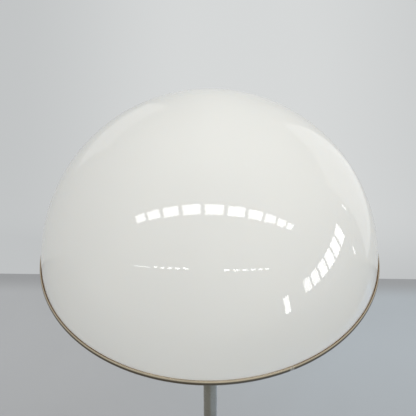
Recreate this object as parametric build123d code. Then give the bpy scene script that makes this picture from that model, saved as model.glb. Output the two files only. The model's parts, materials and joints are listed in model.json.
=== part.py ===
"""Mushroom floor lamp: a blown white hemisphere with a metal rim, on a slim stem and a flat round foot.

Millimetres, +Z up. The origin is the centre of the foot's resting face, and the front is towards -Y.
The lamp is a stack on one tie rod: foot, stem, spider hub and head cone are clamped between two nuts.
The shade only rests on the spider's three arms, and a pull switch hangs from the head.
"""

from build123d import *
import os
from math import asin, cos, degrees, radians, sin, sqrt, tan

# ---------------------------------------------------------------- shade
DOME_RADIUS = 247.0  # outside of the blown hemisphere
DOME_WALL = 4.0
DOME_SKIRT = 1.0  # straight stretch under the hemisphere
RIM_HEIGHT = 8.0
RIM_WEB = 2.0  # floor of the rim's channel, under the dome's edge
RIM_PROUD = 2.8  # how far the rim's convex face stands outside the channel
RIM_EDGE = 1.3  # metal left at the top and bottom of the convex face
RIM_LIP_WALL = 1.5
RIM_LIP_RISE = 1.0  # the inner lip over the outer face
RIM_PLAY = 0.2  # glue gap between the dome and the channel, each side
SEAM_GAP = 0.4
SEAM_AZIMUTH = 296.0  # degrees from +X; the front is 270
JOINER_ARC = 11.0  # degrees
JOINER_WALL = 1.0
JOINER_HEIGHT = 6.0
JOINER_SCREW_ARC = 3.2  # degrees from the seam to each screw
JOINER_SCREW_RADIUS = 1.25
JOINER_SCREW_HEAD = 2.4
JOINER_SCREW_HEAD_HEIGHT = 1.0
TAB_WIDTH = 14.0
TAB_DEPTH = 13.0  # from the rim's lip inwards
TAB_WALL = 2.0
TAB_HEIGHT = 8.0

# ---------------------------------------------------------------- foot
COVER_RADIUS = 150.0
COVER_WALL = 1.2
COVER_LIFT = 0.8  # the cover's edge over the floor
COVER_EDGE_HEIGHT = 18.0
COVER_EDGE_ROUND = 4.0
COVER_FLAT_RADIUS = 34.0  # level seat for the stem
FELT_THICKNESS = 2.5
FELT_GAP = 4.8  # to the cover's wall
WEIGHT_GAP = 8.8  # to the cover's wall
WEIGHT_UNDER_COVER = 1.8  # the plate's top under the cover's inner corner
BOSS_MARGIN = 4.0  # the cover's level seat beyond the ballast's boss
BOSS_CEILING = 8.3  # iron clamped over the nut's pocket
NUT_POCKET_RADIUS = 16.0
BLOCK_WIDTH = 30.0
BLOCK_LENGTH = 18.0
BLOCK_HEIGHT = 9.0
BLOCK_Y = 47.0
BLOCK_PLAY = 1.0
BLOCK_SCREW_PITCH = 9.0
BLOCK_SCREW_RADIUS = 1.5
BLOCK_SCREW_LENGTH = 4.5
GLAND_BORE_RADIUS = 3.3
GLAND_NECK_RADIUS = 4.75
GLAND_FLANGE_RADIUS = 6.2
GLAND_FLANGE = 2.2
GLAND_LIFT = 0.6  # the gland's flange over the cover's edge
CHANNEL_SIDE_PLAY = 2.7  # the cord's channel beside the cord
CHANNEL_TOP_PLAY = 0.6

# ---------------------------------------------------------------- stem
STEM_RADIUS = 11.0
STEM_WALL = 1.5
STEM_LENGTH = 1008.0
ROD_RADIUS = 4.9  # M10 hollow threaded rod, over its crests
ROD_BORE_RADIUS = 3.5
ROD_PLAY = 0.2
ROD_END_UNDER_NUT = 1.0
ROD_END_OVER_BLOCK = 1.5
PLUG_PLAY = 0.1  # turned plugs inside the stem tube
BUSH_HEIGHT = 14.0
COLLAR_WIDTH = 9.0  # round the stem, at its foot
COLLAR_TOP_WIDTH = 3.0
COLLAR_HEIGHT = 15.0
COLLAR_EDGE_HEIGHT = 3.75
COLLAR_PLAY = 0.1
NUT_FLATS = 14.0
NUT_HEIGHT = 6.0
WASHER_RADIUS = 12.0
WASHER_THICKNESS = 1.5
TAG_RADIUS = 7.4
TAG_THICKNESS = 0.8
TAG_BLADE_WIDTH = 5.0
TAG_REACH = 14.5
LEAD_RADIUS = 2.6
LEAD_BEND = 6.1  # from the foot's channel up into the tie rod
CORE_RADIUS = 0.8
CORE_RISE = 6.0
CORE_PLACE = 10.0  # each core's terminal, from the stem's axis
CORE_BEND = 0.45  # of a core's level run
CORE_AZIMUTHS = (30.0, 150.0, 270.0)

# ---------------------------------------------------------------- spider
HUB_FLANGE = 11.0  # round the stem's top
HUB_THICKNESS = 10.0
HUB_SPIGOT = 14.0
HUB_ROUND = 0.8
ARM_WIDTH = 12.0
ARM_THICKNESS = 3.0
ARM_INNER_RADIUS = 9.0
ARM_PLAY = 0.05
ARM_AZIMUTHS = {"back": 90.0, "left": 210.0, "right": 330.0}
ARM_SCREW_RADIUS = 2.0
ARM_SCREW_HEAD = 3.6
ARM_SCREW_HEAD_HEIGHT = 2.2
SEAT_PIN_RADIUS = 2.2
SEAT_PIN_RISE = 8.0  # above the washer
SEAT_PIN_HEAD = 4.0
SEAT_PIN_HEAD_HEIGHT = 1.5
SEAT_PIN_PLAY = 0.4  # in the rim's tab
SEAT_WASHER_RADIUS = 5.5
SEAT_WASHER_THICKNESS = 2.0
FIT_PLAY = 0.05  # a screw or pin in its own hole

# ---------------------------------------------------------------- head
CONE_HEIGHT = 45.0
CONE_WALL = 1.4
CONE_FLOOR = 1.6
HOLDER_TILT = 30.0  # degrees above level; the cone's wall stands square to the holders
CAP_OVERHANG = 1.2
CAP_EDGE = 1.6
CAP_CROWN = 5.0
CAP_SPIGOT = 4.0
HEAD_BLOCK_RADIUS = 14.0
HEAD_BLOCK_HEIGHT = 11.0
HEAD_BLOCK_POCKET = 1.6

# ---------------------------------------------------------------- lamp holders, out from the cone's wall
NIPPLE_INSIDE = 9.0
NIPPLE_OUTSIDE = 13.0
NIPPLE_NUT_HEIGHT = 3.0
HOLDER_NECK_RADIUS = 8.5
HOLDER_NECK = 7.0
HOLDER_RADIUS = 19.0
HOLDER_CAP_LENGTH = 23.0
HOLDER_BELLY = (0.72, 0.30)  # shares of the bell's widening and of its length, where it swells most
HOLDER_BELLY_INSIDE = (0.62, 0.34)
HOLDER_SKIRT_LENGTH = 34.0
HOLDER_WALL = 2.4
HOLDER_SPIGOT = 4.5  # the cap's threaded end, inside the skirt
HOLDER_BEAD = 1.6  # round the mouth
HOLDER_LEDGE = 1.0  # inside cap and skirt, to hold the insert
HOLDER_LEDGE_HEIGHT = 1.2
INSERT_STEM = 6.0  # the insert's narrow back
INSERT_STEM_RADIUS = 8.0
INSERT_HEIGHT = 6.0
INSERT_PLAY = 0.3
SHELL_WALL = 0.5
SHELL_LENGTH = 23.0
SHELL_PLAY = 0.35  # round the bulb cap's crests
CONTACT_LENGTH = 6.0
CONTACT_WIDTH = 3.0
CONTACT_THICKNESS = 0.6
CONTACT_RISE = 2.4
HOLDER_LEAD_RADIUS = 2.2
HOLDER_LEAD_BEND = 6.0

# ---------------------------------------------------------------- bulbs
BULB_CAP_RADIUS = 13.1  # over the thread's crests
BULB_THREAD_DEPTH = 0.8
BULB_THREAD_PITCH = 3.6
BULB_THREADS = 5
BULB_CAP_LENGTH = 27.0
BULB_TIP_RADIUS = 4.8
BULB_TIP_HEIGHT = 3.0
BULB_RADIUS = 30.0
BULB_LENGTH = 105.0
BULB_WALL = 0.9
BULB_NECK_RADIUS = 12.0
BULB_NECK_HEIGHT = 10.0
BULB_NECK_SEAT = 5.0  # how deep the glass stands in its cap
BULB_SHOULDER = 38.0  # degrees that the round end runs on under its widest level

# ---------------------------------------------------------------- pull switch
SWITCH_AZIMUTH = 270.0
SWITCH_RADIUS = 9.0
SWITCH_HEIGHT = 20.0
SWITCH_WALL = 1.5
SWITCH_GAP = 0.9  # to the cone's wall
BUSHING_RADIUS = 4.5
BUSHING_BORE_RADIUS = 2.6
BUSHING_LENGTH = 14.0  # under the switch
BUSHING_MOUTH_RADIUS = 5.6
BUSHING_MOUTH = 3.0
SWITCH_NUT_FLATS = 12.0
SWITCH_NUT_HEIGHT = 3.0
SWITCH_NUT_GAP = 1.0  # to the spider's hub
PISTON_PLAY = 0.3
PISTON_THICKNESS = 2.5
SPRING_WIRE = 0.4  # radius
SPRING_RADIUS = 5.6
SPRING_TURNS = 4.75
PULL_ROD_RADIUS = 0.7
BALL_RADIUS = 1.6
SOCKET_PLAY = 0.3
SOCKET_WALL = 0.7
SOCKET_MOUTH = 50.0  # half-angle of the socket's mouth, degrees
PIVOT_DROP = 2.6  # ball's centre under the bushing's mouth
BEAD_RADIUS = 1.6
BEAD_PITCH = 4.2
BEAD_COUNT = 20
LINK_RADIUS = 0.5
BELL_RADIUS = 6.0
BELL_LENGTH = 22.0
BELL_TOP_RADIUS = 2.2
BELL_FOOT = 6.0  # height of the bell's rounded foot
BELL_EDGE = 0.5
BELL_WAIST = (0.45, 0.60)  # shares of the bell's widening and of its length, where it is hollowest

UPWARD = (Align.CENTER, Align.CENTER, Align.MIN)
OUTWARD = (Align.MIN, Align.CENTER, Align.MIN)
DOWNWARD = (Align.CENTER, Align.CENTER, Align.MAX)

# ---------------------------------------------------------------- levels, worked out up the stack
lead_level = FELT_THICKNESS + LEAD_RADIUS
rod_bottom = lead_level + LEAD_BEND
base_nut_bottom = rod_bottom + ROD_END_UNDER_NUT
tag_bottom = base_nut_bottom + NUT_HEIGHT
base_washer_bottom = tag_bottom + TAG_THICKNESS
pocket_ceiling = base_washer_bottom + WASHER_THICKNESS
boss_top = pocket_ceiling + BOSS_CEILING
stem_bottom = boss_top + COVER_WALL
stem_top = stem_bottom + STEM_LENGTH
hub_top = stem_top + HUB_THICKNESS
arm_bottom = hub_top - ARM_THICKNESS
rim_bottom = hub_top + SEAT_WASHER_THICKNESS
rim_top = rim_bottom + RIM_HEIGHT
dome_edge = rim_bottom + RIM_WEB
dome_centre = dome_edge + DOME_SKIRT
head_washer_bottom = hub_top + CONE_FLOOR
head_nut_bottom = head_washer_bottom + WASHER_THICKNESS
head_block_bottom = head_nut_bottom + NUT_HEIGHT
head_block_top = head_block_bottom + HEAD_BLOCK_HEIGHT
rod_top = head_block_top + ROD_END_OVER_BLOCK
cone_top = hub_top + CONE_HEIGHT

# radii of the foot, the hub and the rim's channel
stem_bore_radius = STEM_RADIUS - STEM_WALL
cover_inner_radius = COVER_RADIUS - COVER_WALL
weight_radius = cover_inner_radius - WEIGHT_GAP
felt_radius = cover_inner_radius - FELT_GAP
hub_radius = STEM_RADIUS + HUB_FLANGE
arm_screw_place = STEM_RADIUS + HUB_FLANGE / 2
lip_outer_radius = DOME_RADIUS - DOME_WALL - RIM_PLAY
lip_inner_radius = lip_outer_radius - RIM_LIP_WALL
channel_radius = DOME_RADIUS + RIM_PLAY
rim_radius = channel_radius + RIM_PROUD
seat_place = lip_inner_radius - TAB_DEPTH / 2

# the switch stands just clear of the hub, and the cone just holds the switch
lean = tan(radians(HOLDER_TILT))
cone_inset = CONE_WALL / cos(radians(HOLDER_TILT))  # the wall's thickness, measured level
switch_place = hub_radius + SWITCH_NUT_GAP + SWITCH_NUT_FLATS / sqrt(3)
cone_radius = switch_place + SWITCH_RADIUS + SWITCH_GAP + (CONE_FLOOR + SWITCH_HEIGHT) * lean + cone_inset
cone_top_radius = cone_radius - CONE_HEIGHT * lean
wall_radius = (cone_radius + cone_top_radius) / 2  # where a holder's axis leaves the cone
wall_level = hub_top + CONE_HEIGHT / 2

# places along a lamp holder's axis
skirt_start = HOLDER_CAP_LENGTH
mouth = skirt_start + HOLDER_SKIRT_LENGTH
insert_back = skirt_start - INSERT_STEM
insert_front = skirt_start + INSERT_HEIGHT
bulb_tip = insert_front + CONTACT_RISE + CONTACT_THICKNESS
bulb_cap_top = bulb_tip + BULB_CAP_LENGTH
shell_radius = BULB_CAP_RADIUS + SHELL_PLAY

# places along the pull switch's axis
switch_floor = hub_top + CONE_FLOOR
switch_top = switch_floor + SWITCH_HEIGHT
mouth_level = switch_floor - BUSHING_LENGTH
pivot_level = mouth_level - PIVOT_DROP
piston_top = switch_top - SWITCH_WALL - PISTON_PLAY
spring_top = piston_top - PISTON_THICKNESS
spring_bottom = switch_floor + SWITCH_WALL
first_bead = pivot_level - BALL_RADIUS - SOCKET_PLAY - SOCKET_WALL - BEAD_PITCH / 2
last_bead = first_bead - (BEAD_COUNT - 1) * BEAD_PITCH


def rod(radius, low, high, x=0.0, y=0.0):
    """A solid round bar standing between two levels."""
    return Pos(x, y, low) * Cylinder(radius, high - low, align=UPWARD)


def ring(outer, inner, low, high, x=0.0, y=0.0):
    """A tube standing between two levels."""
    return rod(outer, low, high, x, y) - rod(inner, low - 1, high + 1, x, y)


def turned(*edges):
    """The solid that a closed outline of edges, drawn as (radius, height), sweeps round the Z axis."""
    return revolve(make_face(Plane.XZ * Curve(edges)), Axis.Z)


def turned_points(*points):
    """A turned solid whose outline is straight from point to point."""
    return turned(Polyline(*points, close=True))


def arc_strip(inner, outer, low, height, arc):
    """A piece of a ring, centred on azimuth 0 and as many degrees long as arc."""
    outline = Polyline((inner, low), (outer, low), (outer, low + height), (inner, low + height), close=True)
    return around(-arc / 2) * revolve(make_face(Plane.XZ * outline), Axis.Z, arc)


def around(azimuth):
    """The place turned about the stem's axis."""
    return Rot(0, 0, azimuth)


def holder_place(azimuth):
    """The place on the cone's wall where a holder's axis leaves it, with local +Z outwards."""
    return around(azimuth) * Pos(wall_radius, 0, wall_level) * Rot(0, 90 - HOLDER_TILT, 0)


def hexagon(flats, low, high, bore):
    """A hexagon nut standing between two levels, bored for its thread."""
    body = extrude(Plane.XY.offset(low) * RegularPolygon(flats / 2, 6, major_radius=False), high - low)
    return body - rod(bore, low - 1, high + 1)


def bent_rod(radius, points, bend):
    """A round lead along straight runs joined by arcs."""
    path = FilletPolyline(*points, radius=bend)
    return sweep(Plane(path @ 0, z_dir=path % 0) * Circle(radius), path=path)


def solids(*shapes):
    """Separate solids kept side by side in one node."""
    return Compound(children=[solid for shape in shapes for solid in shape.solids()])


def upper_corner(shape, radius):
    """The highest circular edge of that radius."""
    circles = shape.edges().filter_by(GeomType.CIRCLE)
    return circles.filter_by(lambda edge: abs(edge.radius - radius) < 0.01).sort_by(Axis.Z)[-1]


def make_cover():
    """The spun cover: an upright edge, a shallow cone and a level seat for the stem."""
    corner = COVER_EDGE_HEIGHT
    cover = turned_points(
        (COVER_RADIUS, COVER_LIFT),
        (COVER_RADIUS, corner),
        (COVER_FLAT_RADIUS, stem_bottom),
        (0, stem_bottom),
        (0, boss_top),
        (COVER_FLAT_RADIUS, boss_top),
        (cover_inner_radius, corner - COVER_WALL),
        (cover_inner_radius, COVER_LIFT),
    )
    cover = fillet(upper_corner(cover, COVER_RADIUS), COVER_EDGE_ROUND)
    cover = fillet(upper_corner(cover, cover_inner_radius), COVER_EDGE_ROUND - COVER_WALL)
    cover -= rod(ROD_RADIUS + ROD_PLAY, boss_top - 1, stem_bottom + 1)
    return cover - gland_place() * Cylinder(GLAND_NECK_RADIUS, 4 * COVER_WALL)


def gland_place():
    """The middle of the cover's wall at the back, with local +Z outwards."""
    level = COVER_LIFT + GLAND_LIFT + GLAND_FLANGE_RADIUS
    return Pos(0, COVER_RADIUS - COVER_WALL / 2, level) * Rot(-90, 0, 0)


def make_gland(cover):
    """The rubber cord gland, moulded to the curve of the cover that it grips."""
    half = COVER_WALL / 2
    gland = ring(GLAND_FLANGE_RADIUS, GLAND_BORE_RADIUS, -half - GLAND_FLANGE, half + GLAND_FLANGE)
    gland = chamfer(gland.edges().group_by(Axis.Z)[-1].sort_by(SortBy.LENGTH)[-1], GLAND_FLANGE / 2)
    return gland_place() * gland - cover


def make_weight():
    """The ballast: an iron plate with a boss, and pockets for the nut, block and cord, cut from below."""
    top = COVER_EDGE_HEIGHT - COVER_WALL - WEIGHT_UNDER_COVER
    low = FELT_THICKNESS
    weight = rod(weight_radius, low, top) + rod(COVER_FLAT_RADIUS - BOSS_MARGIN, low, boss_top)
    weight -= rod(NUT_POCKET_RADIUS, low - 1, pocket_ceiling)
    weight -= rod(ROD_RADIUS + ROD_PLAY, pocket_ceiling - 1, boss_top + 1)
    width = 2 * (GLAND_BORE_RADIUS + CHANNEL_SIDE_PLAY)
    ceiling = gland_place().position.Z + GLAND_BORE_RADIUS + CHANNEL_TOP_PLAY
    weight -= Pos(0, weight_radius / 2, ceiling) * Box(width, weight_radius + 2, ceiling, align=DOWNWARD)
    width, length = BLOCK_WIDTH + 2 * BLOCK_PLAY, BLOCK_LENGTH + 2 * BLOCK_PLAY
    ceiling = low + BLOCK_HEIGHT + BLOCK_PLAY
    return weight - Pos(0, BLOCK_Y, ceiling) * Box(width, length, ceiling, align=DOWNWARD)


def make_base_block():
    """The mains terminal block in the ballast's pocket, and its clamp screws, reached from below."""
    low = FELT_THICKNESS
    block = Pos(0, BLOCK_Y, low) * Box(BLOCK_WIDTH, BLOCK_LENGTH, BLOCK_HEIGHT, align=UPWARD)
    screws = []
    for row in (-1, 1):
        for column in (-1, 0, 1):
            x, y = column * BLOCK_SCREW_PITCH, BLOCK_Y + row * BLOCK_LENGTH / 4
            block -= rod(BLOCK_SCREW_RADIUS + FIT_PLAY, low - 1, low + BLOCK_SCREW_LENGTH, x, y)
            screws.append(rod(BLOCK_SCREW_RADIUS, low, low + BLOCK_SCREW_LENGTH, x, y))
    return block, solids(*screws)


def make_foot():
    """The cover, ballast, felt and gland, what clamps them, and the terminal block."""
    cover = make_cover()
    block, screws = make_base_block()
    washer = ring(WASHER_RADIUS, ROD_RADIUS + ROD_PLAY, base_washer_bottom, pocket_ceiling)
    blade = Pos(0, 0, tag_bottom) * Box(
        TAG_BLADE_WIDTH, TAG_REACH, TAG_THICKNESS, align=(Align.CENTER, Align.MAX, Align.MIN)
    )
    tag = rod(TAG_RADIUS, tag_bottom, base_washer_bottom) + blade
    tag -= rod(ROD_RADIUS + ROD_PLAY, tag_bottom - 1, base_washer_bottom + 1)
    return {
        "base_cover": cover,
        "base_weight": make_weight(),
        "base_felt": rod(felt_radius, 0, FELT_THICKNESS),
        "cord_gland": make_gland(cover),
        "base_terminal_block": block,
        "base_terminal_screws": screws,
        "base_washer": washer,
        "earth_tag": tag,
        "base_nut": hexagon(NUT_FLATS, base_nut_bottom, tag_bottom, ROD_RADIUS + FIT_PLAY),
    }


def make_collar():
    """The turned collar round the stem's foot: an upright edge and a hollow curve up to a slim top."""
    bore = STEM_RADIUS + COLLAR_PLAY
    outer, top_radius = STEM_RADIUS + COLLAR_WIDTH, STEM_RADIUS + COLLAR_TOP_WIDTH
    edge = stem_bottom + COLLAR_EDGE_HEIGHT
    top = stem_bottom + COLLAR_HEIGHT
    hollow = COLLAR_WIDTH - COLLAR_TOP_WIDTH
    return turned(
        Polyline((bore, top), (bore, stem_bottom), (outer, stem_bottom), (outer, edge)),
        CenterArc((outer, edge + hollow), hollow, 180, 90),
        Polyline((top_radius, edge + hollow), (top_radius, top), (bore, top)),
    )


def make_stem():
    """The stem tube, its foot collar and plug, the tie rod through it and the lead inside the rod."""
    tube = ring(STEM_RADIUS, stem_bore_radius, stem_bottom, stem_top)
    bush = ring(stem_bore_radius - PLUG_PLAY, ROD_RADIUS + ROD_PLAY, stem_bottom, stem_bottom + BUSH_HEIGHT)
    lead_top = rod_top + 1
    lead_start = BLOCK_Y - BLOCK_LENGTH / 2
    lead_run = [(0, lead_start, lead_level), (0, 0, lead_level), (0, 0, lead_top)]
    lead = bent_rod(LEAD_RADIUS, lead_run, LEAD_BEND)
    start, crest, terminal = LEAD_RADIUS / 2, lead_top + CORE_RISE, head_block_top - HEAD_BLOCK_POCKET
    core_run = [(start, 0, lead_top), (start, 0, crest), (CORE_PLACE, 0, crest), (CORE_PLACE, 0, terminal)]
    core = bent_rod(CORE_RADIUS, core_run, (CORE_PLACE - start) * CORE_BEND)
    return {
        "stem_tube": tube,
        "foot_collar": make_collar(),
        "foot_bush": bush,
        "tie_rod": ring(ROD_RADIUS, ROD_BORE_RADIUS, rod_bottom, rod_top),
        "stem_lead": solids(lead, *[around(azimuth) * core for azimuth in CORE_AZIMUTHS]),
    }


def make_spider():
    """The hub on the stem's top and the three flat arms that carry the shade."""
    hub = rod(hub_radius, stem_top, hub_top)
    hub = fillet(hub.edges().group_by(Axis.Z)[0], HUB_ROUND)
    hub += rod(stem_bore_radius - PLUG_PLAY, stem_top - HUB_SPIGOT, stem_top + 1)
    hub -= rod(ROD_RADIUS + ROD_PLAY, stem_top - HUB_SPIGOT - 1, hub_top + 1)
    slot = Pos(ARM_INNER_RADIUS - ARM_PLAY, 0, arm_bottom) * Box(
        hub_radius, ARM_WIDTH + 2 * ARM_PLAY, 2 * ARM_THICKNESS, align=OUTWARD
    )
    screw_hole = rod(ARM_SCREW_RADIUS + FIT_PLAY, stem_top - 1, hub_top + 1, arm_screw_place)
    bar = Box(seat_place - ARM_INNER_RADIUS, ARM_WIDTH, ARM_THICKNESS, align=OUTWARD)
    arm = Pos(ARM_INNER_RADIUS, 0, arm_bottom) * bar + rod(ARM_WIDTH / 2, arm_bottom, hub_top, seat_place)
    arm -= screw_hole + rod(SEAT_PIN_RADIUS + FIT_PLAY, arm_bottom - 1, hub_top + 1, seat_place)

    pin = rod(SEAT_PIN_RADIUS, arm_bottom, rim_bottom + SEAT_PIN_RISE, seat_place)
    pin = chamfer(pin.edges().group_by(Axis.Z)[-1], SEAT_PIN_RADIUS / 2)
    pin += rod(SEAT_PIN_HEAD, arm_bottom - SEAT_PIN_HEAD_HEIGHT, arm_bottom, seat_place)
    pad = ring(SEAT_WASHER_RADIUS, SEAT_PIN_RADIUS + FIT_PLAY, hub_top, rim_bottom, seat_place)
    screw = rod(ARM_SCREW_RADIUS, stem_top, hub_top, arm_screw_place)
    screw += rod(ARM_SCREW_HEAD, stem_top - ARM_SCREW_HEAD_HEIGHT, stem_top, arm_screw_place)

    places = {name: around(azimuth) for name, azimuth in ARM_AZIMUTHS.items()}
    for place in places.values():
        hub -= place * (slot + screw_hole)
    parts = {f"spider_arm_{name}": place * arm for name, place in places.items()}
    parts["spider_hub"] = hub
    parts["seat_pins"] = solids(*[place * pin for place in places.values()])
    parts["seat_washers"] = solids(*[place * pad for place in places.values()])
    parts["arm_screws"] = solids(*[place * screw for place in places.values()])
    return parts


def make_cone():
    """The head's cone, whose wall stands square to the lamp holders."""
    cone = turned_points(
        (0, hub_top),
        (cone_radius, hub_top),
        (cone_top_radius, cone_top),
        (cone_top_radius - cone_inset, cone_top),
        (cone_radius - cone_inset - CONE_FLOOR * lean, switch_floor),
        (0, switch_floor),
    )
    cone -= rod(ROD_RADIUS + ROD_PLAY, hub_top - 1, switch_floor + 1)
    bushing_hole = rod(BUSHING_RADIUS + FIT_PLAY, hub_top - 1, switch_floor + 1, switch_place)
    cone -= around(SWITCH_AZIMUTH) * bushing_hole
    for azimuth in ARM_AZIMUTHS.values():
        cone -= holder_place(azimuth) * rod(ROD_RADIUS + FIT_PLAY, -3 * CONE_WALL, 3 * CONE_WALL)
    return cone


def make_cap():
    """The crowned lid on the cone, with a spigot inside it."""
    edge = cone_top_radius + CAP_OVERHANG
    spigot = cone_top_radius - cone_inset - PLUG_PLAY
    brim = cone_top + CAP_EDGE
    crown_radius = (edge**2 + CAP_CROWN**2) / (2 * CAP_CROWN)  # sphere through the brim and the crown
    spread = degrees(asin(edge / crown_radius))
    return turned(
        Polyline((0, cone_top - CAP_SPIGOT), (spigot, cone_top - CAP_SPIGOT), (spigot, cone_top)),
        Polyline((spigot, cone_top), (edge, cone_top), (edge, brim)),
        CenterArc((0, brim + CAP_CROWN - crown_radius), crown_radius, 90 - spread, spread),
        Line((0, brim + CAP_CROWN), (0, cone_top - CAP_SPIGOT)),
    )


def make_head():
    """The head cone with its lid, what clamps it, and the ring of terminals inside."""
    block = ring(HEAD_BLOCK_RADIUS, ROD_RADIUS + ROD_PLAY, head_block_bottom, head_block_top)
    pocket = rod(2 * CORE_RADIUS, head_block_top - HEAD_BLOCK_POCKET, head_block_top + 1, CORE_PLACE)
    for azimuth in CORE_AZIMUTHS:
        block -= around(azimuth) * pocket
    return {
        "head_cone": make_cone(),
        "head_cap": make_cap(),
        "head_washer": ring(WASHER_RADIUS, ROD_RADIUS + ROD_PLAY, head_washer_bottom, head_nut_bottom),
        "head_nut": hexagon(NUT_FLATS, head_nut_bottom, head_block_bottom, ROD_RADIUS + FIT_PLAY),
        "head_terminal_block": block,
    }


def make_holder_cap():
    """The holder's bell-shaped back, screwed on the nipple, with a threaded end that enters the skirt."""
    bore, neck = ROD_RADIUS + FIT_PLAY, HOLDER_NECK_RADIUS
    spigot_radius = HOLDER_RADIUS - HOLDER_WALL / 2
    inner = HOLDER_RADIUS - HOLDER_WALL
    ledge = inner - HOLDER_LEDGE
    floor = HOLDER_NECK + HOLDER_WALL
    spigot_end = skirt_start + HOLDER_SPIGOT
    widening, rise = HOLDER_BELLY
    outer_belly = (neck + (HOLDER_RADIUS - neck) * widening, HOLDER_NECK + (skirt_start - HOLDER_NECK) * rise)
    widening, rise = HOLDER_BELLY_INSIDE
    inner_belly = (neck + (ledge - neck) * widening, floor + (skirt_start - floor) * rise)
    return turned(
        Polyline((bore, 0), (neck, 0), (neck, HOLDER_NECK)),
        ThreePointArc((neck, HOLDER_NECK), outer_belly, (HOLDER_RADIUS, skirt_start)),
        Polyline((HOLDER_RADIUS, skirt_start), (spigot_radius, skirt_start), (spigot_radius, spigot_end)),
        Polyline((spigot_radius, spigot_end), (inner, spigot_end), (inner, skirt_start)),
        Line((inner, skirt_start), (ledge, skirt_start)),
        ThreePointArc((ledge, skirt_start), inner_belly, (neck, floor)),
        Polyline((neck, floor), (bore, floor), (bore, 0)),
    )


def make_holder_skirt():
    """The holder's sleeve, with a bead round its mouth and a ledge that clamps the insert."""
    inner = HOLDER_RADIUS - HOLDER_WALL
    thread_radius = HOLDER_RADIUS - HOLDER_WALL / 2 + FIT_PLAY
    bead = HOLDER_RADIUS + HOLDER_BEAD
    ledge = inner - HOLDER_LEDGE
    return turned_points(
        (thread_radius, skirt_start),
        (HOLDER_RADIUS, skirt_start),
        (HOLDER_RADIUS, mouth - 2 * HOLDER_BEAD),
        (bead, mouth - 2 * HOLDER_BEAD),
        (bead, mouth),
        (inner, mouth),
        (inner, insert_front + HOLDER_LEDGE_HEIGHT),
        (ledge, insert_front + HOLDER_LEDGE_HEIGHT),
        (ledge, insert_front),
        (thread_radius, insert_front),
    )


def make_contact():
    """The folded centre contact: a foot on the insert, a riser and a tongue under the bulb's tip."""
    foot = Box(CONTACT_LENGTH, CONTACT_WIDTH, CONTACT_THICKNESS, align=UPWARD)
    riser = Box(CONTACT_THICKNESS, CONTACT_WIDTH, CONTACT_RISE, align=OUTWARD)
    tongue = Pos(0, 0, CONTACT_RISE) * foot
    return Pos(0, 0, insert_front) * (foot + Pos(-CONTACT_LENGTH / 2, 0, 0) * riser + tongue)


def make_bulb_cap():
    """The bulb's screw cap with its contact tip."""
    root = BULB_CAP_RADIUS - BULB_THREAD_DEPTH
    thread_start = bulb_tip + BULB_TIP_HEIGHT + BULB_THREAD_DEPTH
    threads = []
    for turn in range(BULB_THREADS):
        low = thread_start + turn * BULB_THREAD_PITCH
        threads += [(root, low), (BULB_CAP_RADIUS, low + BULB_THREAD_PITCH / 2)]
    return turned_points(
        (0, bulb_tip),
        (BULB_TIP_RADIUS, bulb_tip),
        (BULB_TIP_RADIUS + 1, bulb_tip + BULB_TIP_HEIGHT),
        *threads,
        (root, thread_start + BULB_THREADS * BULB_THREAD_PITCH),
        (BULB_CAP_RADIUS, bulb_cap_top),
        (BULB_NECK_RADIUS, bulb_cap_top),
        (BULB_NECK_RADIUS, bulb_cap_top - BULB_NECK_SEAT),
        (0, bulb_cap_top - BULB_NECK_SEAT),
    )


def bulb_side(inset):
    """One side of the envelope's wall, from its tip down: round end, flank and neck."""
    radius, neck = BULB_RADIUS - inset, BULB_NECK_RADIUS - FIT_PLAY - inset
    low = bulb_cap_top - BULB_NECK_SEAT
    centre = bulb_tip + BULB_LENGTH - BULB_RADIUS
    down, out = sin(radians(BULB_SHOULDER)), cos(radians(BULB_SHOULDER))
    shoulder, neck_top = (radius * out, centre - radius * down), (neck, low + BULB_NECK_HEIGHT)
    round_end = CenterArc((0, centre), radius, -BULB_SHOULDER, 90 + BULB_SHOULDER)
    flank = TangentArc(shoulder, neck_top, tangent=(-down, -out))
    return round_end, flank, Line(neck_top, (neck, low))


def make_bulb_glass():
    """The pear-shaped envelope, hollow, with an open neck that stands in the cap."""
    outer, inner = bulb_side(0.0), bulb_side(BULB_WALL)
    return turned(*outer, *inner, Line(outer[0] @ 1, inner[0] @ 1), Line(outer[2] @ 1, inner[2] @ 1))


def make_holder():
    """One lamp holder and its bulb, drawn upright along the holder's axis."""
    inner = HOLDER_RADIUS - HOLDER_WALL
    insert = rod(inner - INSERT_PLAY, skirt_start, insert_front)
    insert += rod(INSERT_STEM_RADIUS, insert_back, skirt_start)
    shell = ring(shell_radius + SHELL_WALL, shell_radius, insert_front, insert_front + SHELL_LENGTH)
    # the nut's corners meet the cone's curved wall, so it seats a little behind it
    inside_radius = (wall_radius - CONE_WALL) / cos(radians(HOLDER_TILT))
    nut_corner = NUT_FLATS / sqrt(3)
    nut_seat = -CONE_WALL - inside_radius + sqrt(inside_radius**2 - nut_corner**2)
    return {
        "holder_cap": make_holder_cap(),
        "holder_skirt": make_holder_skirt(),
        "holder_insert": insert,
        "screw_shell": shell,
        "bulb_cap": make_bulb_cap(),
        "bulb_glass": make_bulb_glass(),
        "centre_contacts": make_contact(),
        "holder_nipples": ring(ROD_RADIUS, ROD_BORE_RADIUS, -CONE_WALL - NIPPLE_INSIDE, NIPPLE_OUTSIDE),
        "nipple_nuts": hexagon(NUT_FLATS, nut_seat - NIPPLE_NUT_HEIGHT, nut_seat, ROD_RADIUS + FIT_PLAY),
    }


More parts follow.
